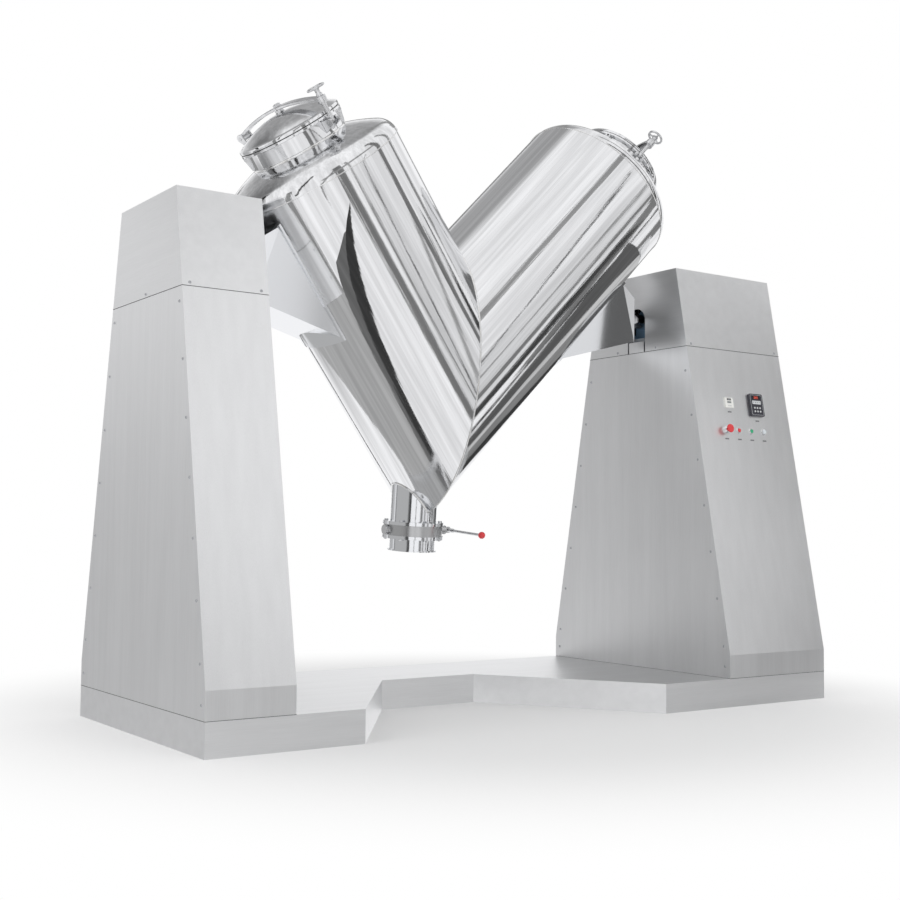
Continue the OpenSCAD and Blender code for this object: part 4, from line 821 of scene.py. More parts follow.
@dataclass
class SeamWeld:
    """Weld bead where the two legs meet."""

    radius: float = 0.0032
    proud: float = 0.0004
    steps: int = 220
    outlet_below: float = -0.2

    def build(self) -> None:
        """Builds the bead along the seam's ellipse, which ends on both sides of the outlet's neck."""
        leg = PLAN.leg(Side.LEFT)
        to_outlet = PLAN.outlet(0.0).inverted() @ leg
        reach = PLAN.radius + self.proud
        path = []
        for i in range(1, self.steps):
            angle = TAU * i / self.steps - math.pi
            x = reach * math.cos(angle)
            point = Vector((x, reach * math.sin(angle), x * PLAN.seam_slope()))
            seen = to_outlet @ point
            if seen.z > self.outlet_below or math.hypot(seen.x, seen.y) > PLAN.outlet_radius + self.radius:
                path.append(point)
        add_weld("leg_seam_weld", path, leg, self.radius, closed=False)


@dataclass
class Manway:
    """Charging neck with its domed lid, arched yoke and hand clamp."""

    side: Side
    bore: float = 0.197
    neck: float = 0.202
    root: float = 0.104
    rim_top: float = 0.198
    rim_radius: float = 0.222
    rim: float = 0.010
    soft_edge: float = 0.0012
    ear: float = 0.008
    ear_root: float = 0.201
    ear_top: float = 0.196
    eye: float = 0.018
    lifting_turns: Point2 = (150.0, -30.0)
    lifting_foot: float = 0.126
    yoke_width: float = 0.040
    hinge_reach: float = 0.260
    hinge_height: float = 0.243
    pin: float = 0.008
    barrel: float = 0.016
    clamp_reach: float = 0.240
    nut_height: float = 0.165
    nut_radius: float = 0.016
    screw: float = 0.009
    lid_seat: float = 0.201
    lid_edge: float = 0.014
    lid_overhang: float = 0.016
    dome_height: float = 0.060
    dome_radius: float = 0.218
    dome_steps: int = 26
    lid_wall: float = 0.004
    yoke_top: float = 0.300
    yoke_arch: float = 0.800
    yoke_bar: float = 0.012
    yoke_split: float = 0.0012
    yoke_steps: int = 22
    boss_radius: float = 0.020
    boss_height: float = 0.026
    wheel_height: float = 0.306
    wheel_radius: float = 0.033
    wheel_bar: float = 0.005
    hub: float = 0.013
    spokes: int = 3

    def add(
        self,
        name: str,
        mesh: Build,
        finish: Finishes,
        body: str,
        solids: Sequence[str] = (),
        round_edges: float = 0.0,
        toward_clamp: bool = False,
    ) -> None:
        """Adds one piece of the manway.

        Args:
            name: Its name without the side.
            mesh: Its mesh.
            finish: Its finish.
            body: Its body without the side, or the drum.
            solids: The solids that it replaces, without the side.
            round_edges: Width of its edge rounding.
            toward_clamp: Whether X of its frame points to the clamp.
        """
        side = self.side.value
        place = PLAN.clamp(self.side) if toward_clamp else PLAN.manway(self.side)
        body = body if body == "drum" else f"{side}_{body}"
        nodes = [f"{side}_{solid}" for solid in solids]
        add_piece(f"{side}_{name}", mesh, place, finish, body, "mirror_steel", nodes, round_edges)

    def boss_top(self) -> float:
        """Height of the top of the yoke's boss."""
        arch = self.yoke_top - self.yoke_arch + math.sqrt(self.yoke_arch**2 - self.clamp_reach**2)
        return arch - self.yoke_bar / 2 + self.boss_height / 2

    def nut_half(self) -> float:
        """Distance of the clamp nut's ears from the middle plane."""
        return self.screw + 0.0032 + self.ear / 2

    def ear_pair(self, mesh: Build, outline: Sequence[Point2], inner: float, turn: float) -> None:
        """Adds two plates that face each other across the middle plane.

        Args:
            mesh: The mesh that gets them.
            outline: Their outline as (reach, height).
            inner: Distance of their inner faces from the middle plane.
            turn: Turn of their plane about the neck, in degrees.
        """
        for start in (-inner - self.ear, inner):
            stand = turned("Z", turn) @ turned("X", 90) @ moved(0, 0, start)
            prism(mesh, outline, 0.0, self.ear, stand)

    def build_neck(self) -> None:
        """Neck with its rolled rim."""
        neck = bmesh.new()
        soft, rim, top = self.soft_edge, self.rim_radius, self.rim_top
        under = top - self.rim
        outline = [
            (self.bore, self.root),
            (self.neck, self.root),
            (self.neck, under - 0.004),
            (self.neck + 0.0015, under - 0.001),
            (self.neck + 0.005, under),
            (rim - soft, under),
            (rim, under + soft),
            (rim, top - soft),
            (rim - soft, top),
            (self.bore, top),
        ]
        ring(neck, outline, segments=128)
        self.add("manway_neck", neck, MIRROR_OF[self.side], "drum", ("manway",))

    def build_ears(self) -> None:
        """Ears of the hinge and of the clamp nut, and the lifting plates."""
        ears = bmesh.new()
        root, top, rim = self.ear_root, self.ear_top, self.rim_radius
        hinge = [
            (root, self.rim_top - 0.048),
            (self.hinge_reach + self.eye * 0.98, self.hinge_height - 0.004),
            *arc((self.hinge_reach, self.hinge_height), self.eye, range(0, 181, 15)),
            (rim + self.ear, self.rim_top + self.ear / 2),
            (rim, top),
            (root, top),
        ]
        self.ear_pair(ears, hinge, self.yoke_width / 2 + 0.0003, 180 - PLAN.clamp_turn)
        nut = [
            (root, self.nut_height - 2 * self.nut_radius),
            (self.clamp_reach, self.nut_height - self.nut_radius),
            *arc((self.clamp_reach, self.nut_height), self.nut_radius, range(-75, 91, 15)),
            (root, self.nut_height + self.nut_radius),
        ]
        self.ear_pair(ears, nut, self.nut_half(), -PLAN.clamp_turn)
        foot = self.lifting_foot
        lifting = [(root, foot), (self.neck + self.ear, foot), (rim, self.rim_top - 0.012)]
        lifting += [(rim, top), (root, top)]
        for turn in self.lifting_turns:
            self.ear_pair(ears, lifting, 0.004, turn)
        self.add("manway_ears", ears, Finishes.STEEL, "drum", round_edges=0.0012)

    def build_fittings(self) -> None:
        """Hinge pin, clamp nut and the bolts of the lifting plates."""
        fittings = bmesh.new()
        soft = self.soft_edge
        at_hinge = turned("Z", 180 - PLAN.clamp_turn) @ moved(self.hinge_reach, 0, self.hinge_height)
        half = self.yoke_width / 2 + self.ear + 0.0023
        pin = [(0, 0), (self.pin, 0), (self.pin, half - soft), (self.pin - soft, half), (0, half)]
        at_nut = turned("Z", -PLAN.clamp_turn) @ moved(self.clamp_reach, 0, self.nut_height)
        start, end = 0.0125, self.nut_half() + self.ear + 0.0005
        size = self.nut_radius
        nut = [(0.0, start), (size, start), (size, end - 0.0015), (size - 0.0015, end), (0, end)]
        for outline, place, segments in ((pin, at_hinge, 24), (nut, at_nut, 32)):
            for flip in (90.0, -90.0):
                lathe(fittings, outline, place @ turned("X", flip), segments)
        for turn in self.lifting_turns:
            at_bolt = turned("Z", turn) @ moved(self.rim_radius - 0.006, 0, self.rim_top - 0.022)
            prism(fittings, hexagon(0.0055), -0.0155, 0.0155, at_bolt @ turned("X", 90))
        self.add("manway_fittings", fittings, Finishes.SHAFT, "drum", round_edges=0.0005)

    def lid_outline(self) -> list[Point2]:
        """Outline of the lid as (radius, height)."""
        dome = (self.dome_radius**2 + self.dome_height**2) / (2 * self.dome_height)
        seat, edge_top = self.lid_seat, self.lid_seat + self.lid_edge
        centre = edge_top + self.dome_height - dome
        half = math.asin(self.dome_radius / dome)
        inner = dome - self.lid_wall
        inner_half = math.asin((self.dome_radius - self.lid_wall) / inner)
        rim = self.rim_radius
        points = [(rim - self.lid_overhang, seat), (rim - 0.0015, seat), (rim, seat + 0.0015)]
        points += [(rim, edge_top - 0.003), (rim - 0.0008, edge_top - 0.001), (rim - 0.0028, edge_top)]
        shares = [i / self.dome_steps for i in range(self.dome_steps + 1)]
        outer_turns = [(dome, half * (1 - share)) for share in shares]
        inner_turns = [(inner, inner_half * share) for share in shares]
        for size, angle in outer_turns + inner_turns:
            points.append((size * math.sin(angle), centre + size * math.cos(angle)))
        points.append((self.dome_radius - self.lid_wall, seat + self.lid_wall))
        points.append((rim - self.lid_overhang, seat + self.lid_wall))
        return points

    def build_lid(self) -> None:
        """Lid with its stud and nut, and the gasket's finish."""
        lid = bmesh.new()
        ring(lid, self.lid_outline(), segments=144)
        self.add("lid_dome", lid, MIRROR_OF[self.side], "lid", ("lid",))
        stud = bmesh.new()
        foot = self.lid_seat + self.lid_edge + self.dome_height - 0.002
        head = self.yoke_top - self.yoke_bar - 0.0003
        outline = [(0, foot), (0.021, foot), (0.0195, foot + 0.003), (0.018, foot + 0.0045)]
        outline += [(0.018, head), (0, head)]
        lathe(stud, outline, segments=40)
        prism(stud, hexagon(0.018), self.yoke_top, self.yoke_top + 0.009)
        tip = mm((0, 9), (12.5, 9), (10.5, 11.5), (5, 12), (0, 12))
        lathe(stud, tip, moved(0, 0, self.yoke_top), 32)
        self.add("lid_stud", stud, Finishes.STEEL, "lid", round_edges=0.0006)
        dress((f"{self.side.value}_gasket",), Finishes.RUBBER)

    def build_yoke(self) -> None:
        """Arched bar in two halves with its barrel, boss and middle clip."""
        bar = bmesh.new()
        half = self.yoke_width / 2
        arches = (self.yoke_arch, self.yoke_arch - self.yoke_bar)
        for low, high in ((-self.hinge_reach, -self.yoke_split), (self.yoke_split, self.clamp_reach)):
            reach = [low + (high - low) * i / self.yoke_steps for i in range(self.yoke_steps + 1)]
            centre = self.yoke_top - self.yoke_arch
            outer, inner = [[(x, centre + math.sqrt(arch**2 - x * x)) for x in reach] for arch in arches]
            prism(bar, [*outer, *reversed(inner)], -half, half, turned("X", 90))
        self.add("yoke_bar", bar, Finishes.STEEL, "lid", ("yoke",), 0.0025, True)
        ends = bmesh.new()
        soft, size = self.soft_edge, self.barrel
        barrel = [(self.pin, -half), (size - soft, -half), (size, soft - half)]
        barrel += [(size, half - soft), (size - soft, half), (self.pin, half)]
        ring(ends, barrel, moved(-self.hinge_reach, 0, self.hinge_height) @ turned("X", 90), 40)
        top = self.boss_top()
        low = top - self.boss_height
        size, soft = self.boss_radius, 0.0015
        boss = [(self.screw, low), (size - soft, low), (size, low + soft)]
        boss += [(size, top - soft), (size - soft, top), (self.screw, top)]
        ring(ends, boss, moved(self.clamp_reach, 0, 0), 40)
        clip_low = self.yoke_top - self.yoke_bar - 0.002
        for start in (-half - 0.0012, half):
            box(ends, (-0.007, start, clip_low), (0.007, start + 0.0012, self.yoke_top))
        self.add("yoke_ends", ends, Finishes.STEEL, "lid", round_edges=0.0006, toward_clamp=True)

    def build_clamp(self) -> None:
        """Hand clamp: screw, long hub, three spokes and rim."""
        clamp = bmesh.new()
        screw, hub = self.screw, self.hub
        base = self.boss_top() + 0.0003
        stop = self.boss_top() - self.boss_height - 0.0003
        top = self.wheel_height + self.wheel_bar
        outline = [
            (0, self.nut_height + 0.001),
            (screw - 0.002, self.nut_height),
            (screw, self.nut_height + 0.002),
            (screw, stop - 0.004),
            (hub, stop - 0.004),
            (hub, stop),
            (screw - 0.0002, stop),
            (screw - 0.0002, base),
            (hub - 0.001, base),
            (hub, base + 0.001),
            (hub, base + 0.009),
            (hub - 0.003, base + 0.013),
            (hub - 0.003, top - 0.016),
            (hub, top - 0.011),
            (hub, top - 0.003),
            (hub - 0.003, top),
            (0, top),
        ]
        lathe(clamp, outline, moved(self.clamp_reach, 0, 0), 32)
        centre = Vector((self.clamp_reach, 0, self.wheel_height))
        sweep(clamp, [centre + p for p in circle_points(self.wheel_radius, 0, 64)], self.wheel_bar, 12, True)
        for i in range(self.spokes):
            angle = TAU * i / self.spokes
            out = Vector((math.cos(angle), math.sin(angle), 0)) * self.wheel_radius
            sweep(clamp, [centre + out * (k / 4) for k in range(5)], self.wheel_bar * 0.8, 10)
        self.add("hand_clamp", clamp, Finishes.STEEL, "clamp", ("clamp",), toward_clamp=True)

    def build(self) -> None:
        """Builds the whole manway."""
        self.build_neck()
        self.build_ears()
        self.build_fittings()
        self.build_lid()
        self.build_yoke()
        self.build_clamp()


@dataclass
class Outlet:
    """Discharge neck, butterfly valve, spout and hand lever."""

    neck_radius: float = 0.100
    neck_weld: float = 0.0048
    flange_top: float = -0.9805
    body_top: float = -0.9945
    body_bottom: float = -1.0401
    spout_flange: float = -1.0541
    bolt_circle: float = 0.116
    bolts: int = 6
    nut: float = 0.0082
    washer: float = 0.0012
    lever_reach: float = 0.178
    lever_length: float = 0.262
    lever_hub: float = 0.0127
    ball: float = 0.015
    ball_neck: Point2 = (0.0063, -0.0136)

    def underside(self, x: float, y: float) -> float:
        """Height in the drum's frame of the drum's underside over a point of the outlet's neck."""
        best = None
        for side in Side:
            to_leg = PLAN.leg(side).inverted() @ PLAN.drum()
            start = to_leg @ Vector((x, y, 0.0))
            step = (to_leg @ Vector((x, y, 1.0))) - start
            a = step.x**2 + step.y**2
            b = 2 * (start.x * step.x + start.y * step.y)
            c = start.x**2 + start.y**2 - PLAN.radius**2
            root = b * b - 4 * a * c
            if root <= 0:
                continue
            z = (-b - math.sqrt(root)) / (2 * a)
            point = start + step * z
            if point.z + 1e-4 >= point.x * PLAN.seam_slope():
                best = z if best is None else min(best, z)
        return best if best is not None else -0.9

    def build_neck(self) -> None:
        """Neck weld and the finishes of neck and spout."""
        dress(("outlet_neck", "spout"), Finishes.MIRROR)
        path = circle_points(self.neck_radius, 0.0, 120)
        for point in path:
            point.z = self.underside(point.x - PLAN.outlet_offset, point.y)
        add_weld("outlet_neck_weld", path, PLAN.outlet(0.0), self.neck_weld)

    def build_valve(self) -> None:
        """Flange bolts and the finishes of the valve."""
        dress(("valve_body",), Finishes.VALVE)
        dress(("valve_seat",), Finishes.RUBBER)
        dress(("valve_disc",), Finishes.STEEL)
        mesh = bmesh.new()
        top, low, washer = self.flange_top, self.spout_flange, self.washer
        end = low - 0.009
        shank = [(0, end), (0.0042, end), (0.005, end + 0.001), (0.005, top), (0, top)]
        for i in range(self.bolts):
            place = turned("Z", 360 * (i + 0.5) / self.bolts) @ moved(self.bolt_circle, 0, 0)
            lathe(mesh, shank, place, 20)
            prism(mesh, hexagon(self.nut), top + washer, top + 0.006, place)
            prism(mesh, hexagon(self.nut), low - 0.0065, low - washer, place)
            for foot in (top, low - washer):
                ring(mesh, section(0.0052, 0.0095, foot, foot + washer), place, 24)
        place = PLAN.outlet(0.0)
        solids = ("valve_bolts",)
        add_piece("valve_flange_bolts", mesh, place, Finishes.STEEL, "drum", "screw_steel", solids, 0.0004)

    def build_lever(self) -> None:
        """Lever with its hub, collar, tapering bar and ball."""
        middle = (self.body_top + self.body_bottom) / 2
        place = PLAN.outlet(middle) @ moved(self.lever_reach, 0, 0)
        mesh = bmesh.new()
        hub, long = self.lever_hub, self.lever_length
        outline = [(0, -hub), (0.0134, -hub), (0.0144, 0.001 - hub)]
        outline += [(0.0144, hub - 0.001), (0.0134, hub), (0, hub)]
        lathe(mesh, outline, turned("Y", 90), 40)
        bar = [(0.009, 0), (0.009, 0.05), (0.0065, 0.056), (0.006, 0.07), (0.006, long), (0, long)]
        lathe(mesh, bar, turned("X", 90), 24)
        solids = ("valve_lever",)
        add_piece("valve_hand_lever", mesh, place, Finishes.STEEL, "valve", "mirror_steel", solids, 0.0004)
        ball = bmesh.new()
        outline = [self.ball_neck, *arc((0, 0), self.ball, range(-60, 90, 6)), (0, self.ball)]
        lathe(ball, outline, turned("X", 90), 48)
        place = place @ moved(0, -long, 0)
        add_piece("lever_ball", ball, place, Finishes.RED, "valve", "red_plastic", ("lever_knob",))

    def build(self) -> None:
        """Builds the whole outlet."""
        self.build_neck()
        self.build_valve()
        self.build_lever()


class Running:
    """Brackets, shafts and the drive, which keep their solids."""

    def build_shafts(self) -> None:
        """Finishes of brackets and shafts."""
        dress(("left_bracket", "right_bracket"), Finishes.MIRROR)
        dress(("left_shaft", "right_shaft"), Finishes.SHAFT)

    def build_drive(self) -> None:
        """Finishes of bearings, gearbox, motor and belts."""
        dress(("bearings", "gearbox", "motor"), Finishes.DRIVE)
        dress(("input_pulley", "motor_pulley"), Finishes.IRON)
        dress(("v_belts",), Finishes.RUBBER)
        dress(("control_box",), Finishes.BOX)
        dress(("supply_gland",), Finishes.BLACK)


# Pillars


@dataclass
class Cladding:
    """Sheet steel pillars, heads and base, with their screws."""

    screw_radius: float = 0.006
    screw_height: float = 0.003
    left_span: Point2 = (-1.5575, -1.2155)
    right_span: Point2 = (0.9325, 1.5575)
    half_depth: float = 0.601
    slope_foot: float = 0.226
    seam: float = 1.626
    seam_gap: float = 0.0022
    foot_seam: float = 0.124
    foot_gap: float = 0.0016
    gap_proud: float = 0.0006

    def screw_groups(self, mesh: Build) -> Iterable[list[Vector]]:
        """Yields the points of each screw of a mesh."""
        left = set(mesh.verts)
        while left:
            seed = left.pop()
            group, stack = [seed.co], [seed]
            while stack:
                for edge in stack.pop().link_edges:
                    for vert in left.intersection(edge.verts):
                        left.remove(vert)
                        group.append(vert.co)
                        stack.append(vert)
            yield group

    def screw_places(self) -> list[Matrix]:
        """Frames of the screw heads, Z outward, read from the screws' solids."""
        mesh = bmesh.new()
        mesh.from_mesh(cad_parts["panel_screws"].data)
        bmesh.ops.remove_doubles(mesh, verts=mesh.verts, dist=1e-6)
        slope = math.radians(FACE_SLOPE)
        places = []
        for group in self.screw_groups(mesh):
            centre = sum(group, Vector()) / len(group)
            span = self.left_span if centre.x < 0 else self.right_span
            spread = max(point.x for point in group) - min(point.x for point in group)
            if spread < 1.5 * self.screw_height:
                out = Vector((1 if centre.x > sum(span) / 2 else -1, 0, 0))
            else:
                out = Vector((0, math.copysign(math.cos(slope), centre.y), math.sin(slope)))
            foot = centre - out * self.screw_height / 2
            places.append(moved(*foot) @ out.to_track_quat("Z", "Y").to_matrix().to_4x4())
        mesh.free()
        return sorted(places, key=lambda place: tuple(round(value, 4) for value in place.translation))

    def build_seams(self) -> None:
        """Dark strips of painted shade in the seams under the head covers and at the pillars' feet."""
        mesh = bmesh.new()
        out = self.gap_proud
        rise = self.seam - self.slope_foot
        head_half = self.half_depth - rise * math.tan(math.radians(FACE_SLOPE))
        gaps = ((self.seam, head_half, self.seam_gap), (self.foot_seam, self.half_depth, self.foot_gap))
        for low, high in (self.left_span, self.right_span):
            for height, half, tall in gaps:
                bottom = (low - out, -half - out, height - tall / 2)
                box(mesh, bottom, (high + out, half + out, height + tall / 2))
        add_piece("cover_shadow_gaps", mesh, Matrix(), Finishes.GAP, "frame", "black_rubber")

    def build(self) -> None:
        """Dresses the sheets and builds the screw heads."""
        self.build_seams()
        sheets = ("wrap", "inner_panel", "outer_panel")
        dress([f"{side.value}_{sheet}" for side in Side for sheet in sheets], Finishes.PILLAR)
        dress(("left_head", "right_head"), Finishes.HEAD)
        dress(("base_cover",), Finishes.BASE)
        dress(("base_frame", "left_post", "right_post"), Finishes.FRAME)
        unit = [(0, 0), (1, 0), (1, 0.22), (0.93, 0.5), (0.76, 0.8), (0.5, 0.97)]
        unit += [(0.42, 1), (0.38, 0.45), (0, 0.4)]
        outline = [(self.screw_radius * x, self.screw_height * z) for x, z in unit]
        mesh = bmesh.new()
        for place in self.screw_places():
            lathe(mesh, outline, place, 20)
        solids = ("panel_screws",)
        add_piece("cover_screws", mesh, Matrix(), Finishes.SCREW, "frame", "screw_steel", solids)


@dataclass
class Controls:
    """Timer, keypad, buttons and lamp on the drive pillar's front."""

    front: float = -0.601
    foot: float = 0.226
    row: float = 1.033
    first: float = 1.113
    pitch: float = 0.084
    timer: Point2 = (1.155, 1.164)
    window_half: float = 0.0134
    window_height: float = 0.0094
    window_glass: Point2 = (0.0053, 0.0062)
    upper_window: float = 0.0111
    lower_window: float = -0.0023
    keypad: Point2 = (1.336, 1.162)
    keypad_size: Point2 = (0.090, 0.109)
    keypad_face: float = 0.0120
    display_half: float = 0.0268
    display_height: float = 0.0174
    status_row: float = 0.0125
    label: Point2 = (0.024, 0.006)
    digits: int = 4

    def on_face(self, x: float, row: float) -> Matrix:
        """Frame on the sloping front, Z outward and Y up the slope."""
        return moved(x, self.front, self.foot) @ turned("X", 90 - FACE_SLOPE) @ moved(0, row, 0)

    def button(self, number: int) -> Matrix:
        """Frame of a button of the row."""
        return self.on_face(self.first + number * self.pitch, self.row)

    def zeros(self, mesh: Build, place: Matrix, height: float) -> None:
        """Adds a display's row of zeros.

        Args:
            mesh: The mesh that gets them.
            place: Frame of the row's middle.
            height: Height of a digit.
        """
        width, bar, step = height * 0.5, height * 0.09, height * 0.72
        bars = [(0, y * height / 2, width, bar) for y in (1, -1)]
        bars += [(x * width / 2, y * height / 4, bar, height / 2) for x in (1, -1) for y in (1, -1)]
        for i in range(self.digits):
            middle = (i - (self.digits - 1) / 2) * step
            for x, y, w, h in bars:
                box(mesh, (middle + x - w / 2, y - h / 2, 0), (middle + x + w / 2, y + h / 2, 0.0003), place)

    def build_timer(self) -> None:
        """Timer front with its two windows."""
        dress(("timer",), Finishes.WHITE)
        place = self.on_face(*self.timer)
        half, (back, glass) = self.window_half, self.window_glass
        for name, low, finish, slot in (
            ("upper", self.upper_window, Finishes.GLASS, "black_plastic"),
            ("lower", self.lower_window, Finishes.GREY_GLASS, "white_plastic"),
        ):
            window = bmesh.new()
            box(window, (-half, low, back), (half, low + self.window_height, glass))
            add_piece(f"timer_{name}_display", window, place, finish, "frame", slot)
        keys = bmesh.new()
        for x in (-0.009, -0.003, 0.003, 0.009):
            box(keys, (x - 0.0022, -0.0165, 0.0069), (x + 0.0022, -0.0125, 0.0082))
        add_piece("timer_keys", keys, place, Finishes.KEYS, "frame", "grey_keys", round_edges=0.0004)
        digits = bmesh.new()
        self.zeros(digits, moved(0, self.upper_window + self.window_height / 2, glass), 0.0058)
        add_piece("timer_digits", digits, place, Finishes.PALE, "frame", "white_plastic")

    def build_keypad(self) -> None:
        """Keypad plate with its outline, display and status lights."""
        dress(("keypad",), Finishes.BLACK)
        dress([f"keypad_key_{i}" for i in range(1, 7)], Finishes.KEYS)
        place = self.on_face(*self.keypad)
        width, height = self.keypad_size
        outline = bmesh.new()
        corners = round_outline(width - 0.012, height - 0.012, 0.006, 5)
        sweep(outline, [Vector((x, y, self.keypad_face)) for x, y in corners], 0.0007, 6, True)
        add_piece("keypad_outline", outline, place, Finishes.PALE, "frame", "grey_keys")
        display = bmesh.new()
        half, tall, low = self.display_half, self.display_height, height / 4 + 0.0003
        box(display, (-half, low, 0.0104), (half, low + tall, 0.0114))
        add_piece("keypad_display", display, place, Finishes.GLASS, "frame", "black_plastic")
        digits = bmesh.new()
        self.zeros(digits, moved(0, low + tall / 2, 0.0114), 0.010)
        add_piece("keypad_digits", digits, place, Finishes.DIGITS, "frame", "red_plastic")
        panel = bmesh.new()
        prism(panel, round_outline(0.058, 0.017, 0.003, 4), 0.0119, 0.0124, moved(0, self.status_row, 0))
        add_piece("keypad_status_panel", panel, place, Finishes.PALE, "frame", "grey_keys")
        lights = bmesh.new()
        lens = mm((0, 12.9), (1.4, 12.8), (2, 12.4), (2, 12.2), (0, 12.2))
        for x in (-0.021, -0.007, 0.007, 0.021):
            lathe(lights, lens, moved(x, self.status_row, 0), 16)
        add_piece("keypad_status_lights", lights, place, Finishes.BLACK, "frame", "black_plastic")

    def build_trim(self) -> None:
        """Rings round the buttons and the blank label plates."""
        rings = bmesh.new()
        for number, (outer, height) in enumerate(mm((17, 16), (15, 5), (15, 5), (15, 5))):
            outline = [
                *mm((9.5, -36), (11.5, -36), (11.5, 0)),
                (outer, 0.0),
                (outer, height * 0.45),
                (outer - 0.0018, height * 0.8),
                (0.0112, height),
                (0.0095, height),
            ]
            ring(rings, outline, self.button(number), 48)
        trim = ("control_trim",)
        add_piece("button_rings", rings, Matrix(), Finishes.TRIM, "frame", "trim_steel", trim)
        labels = bmesh.new()
        spots = [self.button(i) @ moved(0, -0.043, 0) for i in range(4)]
        spots.append(self.on_face(self.timer[0], self.timer[1] - 0.043))
        spots.append(self.on_face(self.keypad[0], self.keypad[1] - self.keypad_size[1] / 2 - 0.0215))
        for place in spots:
            prism(labels, round_outline(*self.label, 0.001, 3), 0.0, 0.001, place)
        add_piece("label_plates", labels, Matrix(), Finishes.LABEL, "frame", "trim_steel")

    def build_buttons(self) -> None:
        """Mushroom, caps and lamp."""
        mushroom = mm((0, -9.5), (9, -9.5), (9, 22.5), (15, 25.3), (19.2, 26.2), (20, 28.5), (19.7, 31.8))
        mushroom += mm((18, 34.5), (14, 36.4), (8, 37.6), (0, 38))
        cap = mm((0, -9.5), (9, -9.5), (9, 7), (8.4, 7.7), (7, 7.9), (4, 7.5), (0, 7.3))
        lens = mm((0, -19), (9, -19), (9, 5.2), (11, 5.8), (11.2, 7.5), (10.4, 10.5), (8.2, 13.2))
        lens += mm((4.5, 14.6), (0, 15))
        caps = (
            ("emergency_mushroom", mushroom, 56, Finishes.RED, "estop_button", "red_plastic", "estop_head"),
            ("stop_button_cap", cap, 40, Finishes.RED, "stop_button", "red_plastic", "stop_cap"),
            ("start_button_cap", cap, 40, Finishes.GREEN, "start_button", "green_plastic", "start_cap"),
            ("lamp_lens", lens, 40, Finishes.LENS, "frame", "white_lens", "pilot_lamp"),
        )
        for number, (name, outline, steps, finish, body, slot, solid) in enumerate(caps):
            mesh = bmesh.new()
            lathe(mesh, outline, self.button(number), steps)
            add_piece(name, mesh, Matrix(), finish, body, slot, (solid,))

    def build(self) -> None:
        """Builds all the controls."""
        self.build_timer()
        self.build_keypad()
        self.build_trim()
        self.build_buttons()


# Studio


@dataclass(frozen=True)
class Wall:
    """A soft grey region of the surroundings, round one direction."""

    direction: Triple
    edge: float
    core: float
    shade: float


@dataclass(frozen=True)
class Flag:
    """A long card parallel to a leg, or to the plumb line where there is none."""

    side: Optional[Side]
    direction: Triple
    distance: float
    width: float
    shade: float


@dataclass(frozen=True)
class Screen:
    """An upright card across the shaft, seen from its facing side only; it stands between the drum and a
    pillar's inner face as painted shade of that face in the drum's reflection.
    """

    x: float
    front: float
    back: float
    low: float
    high: float
    shade: float


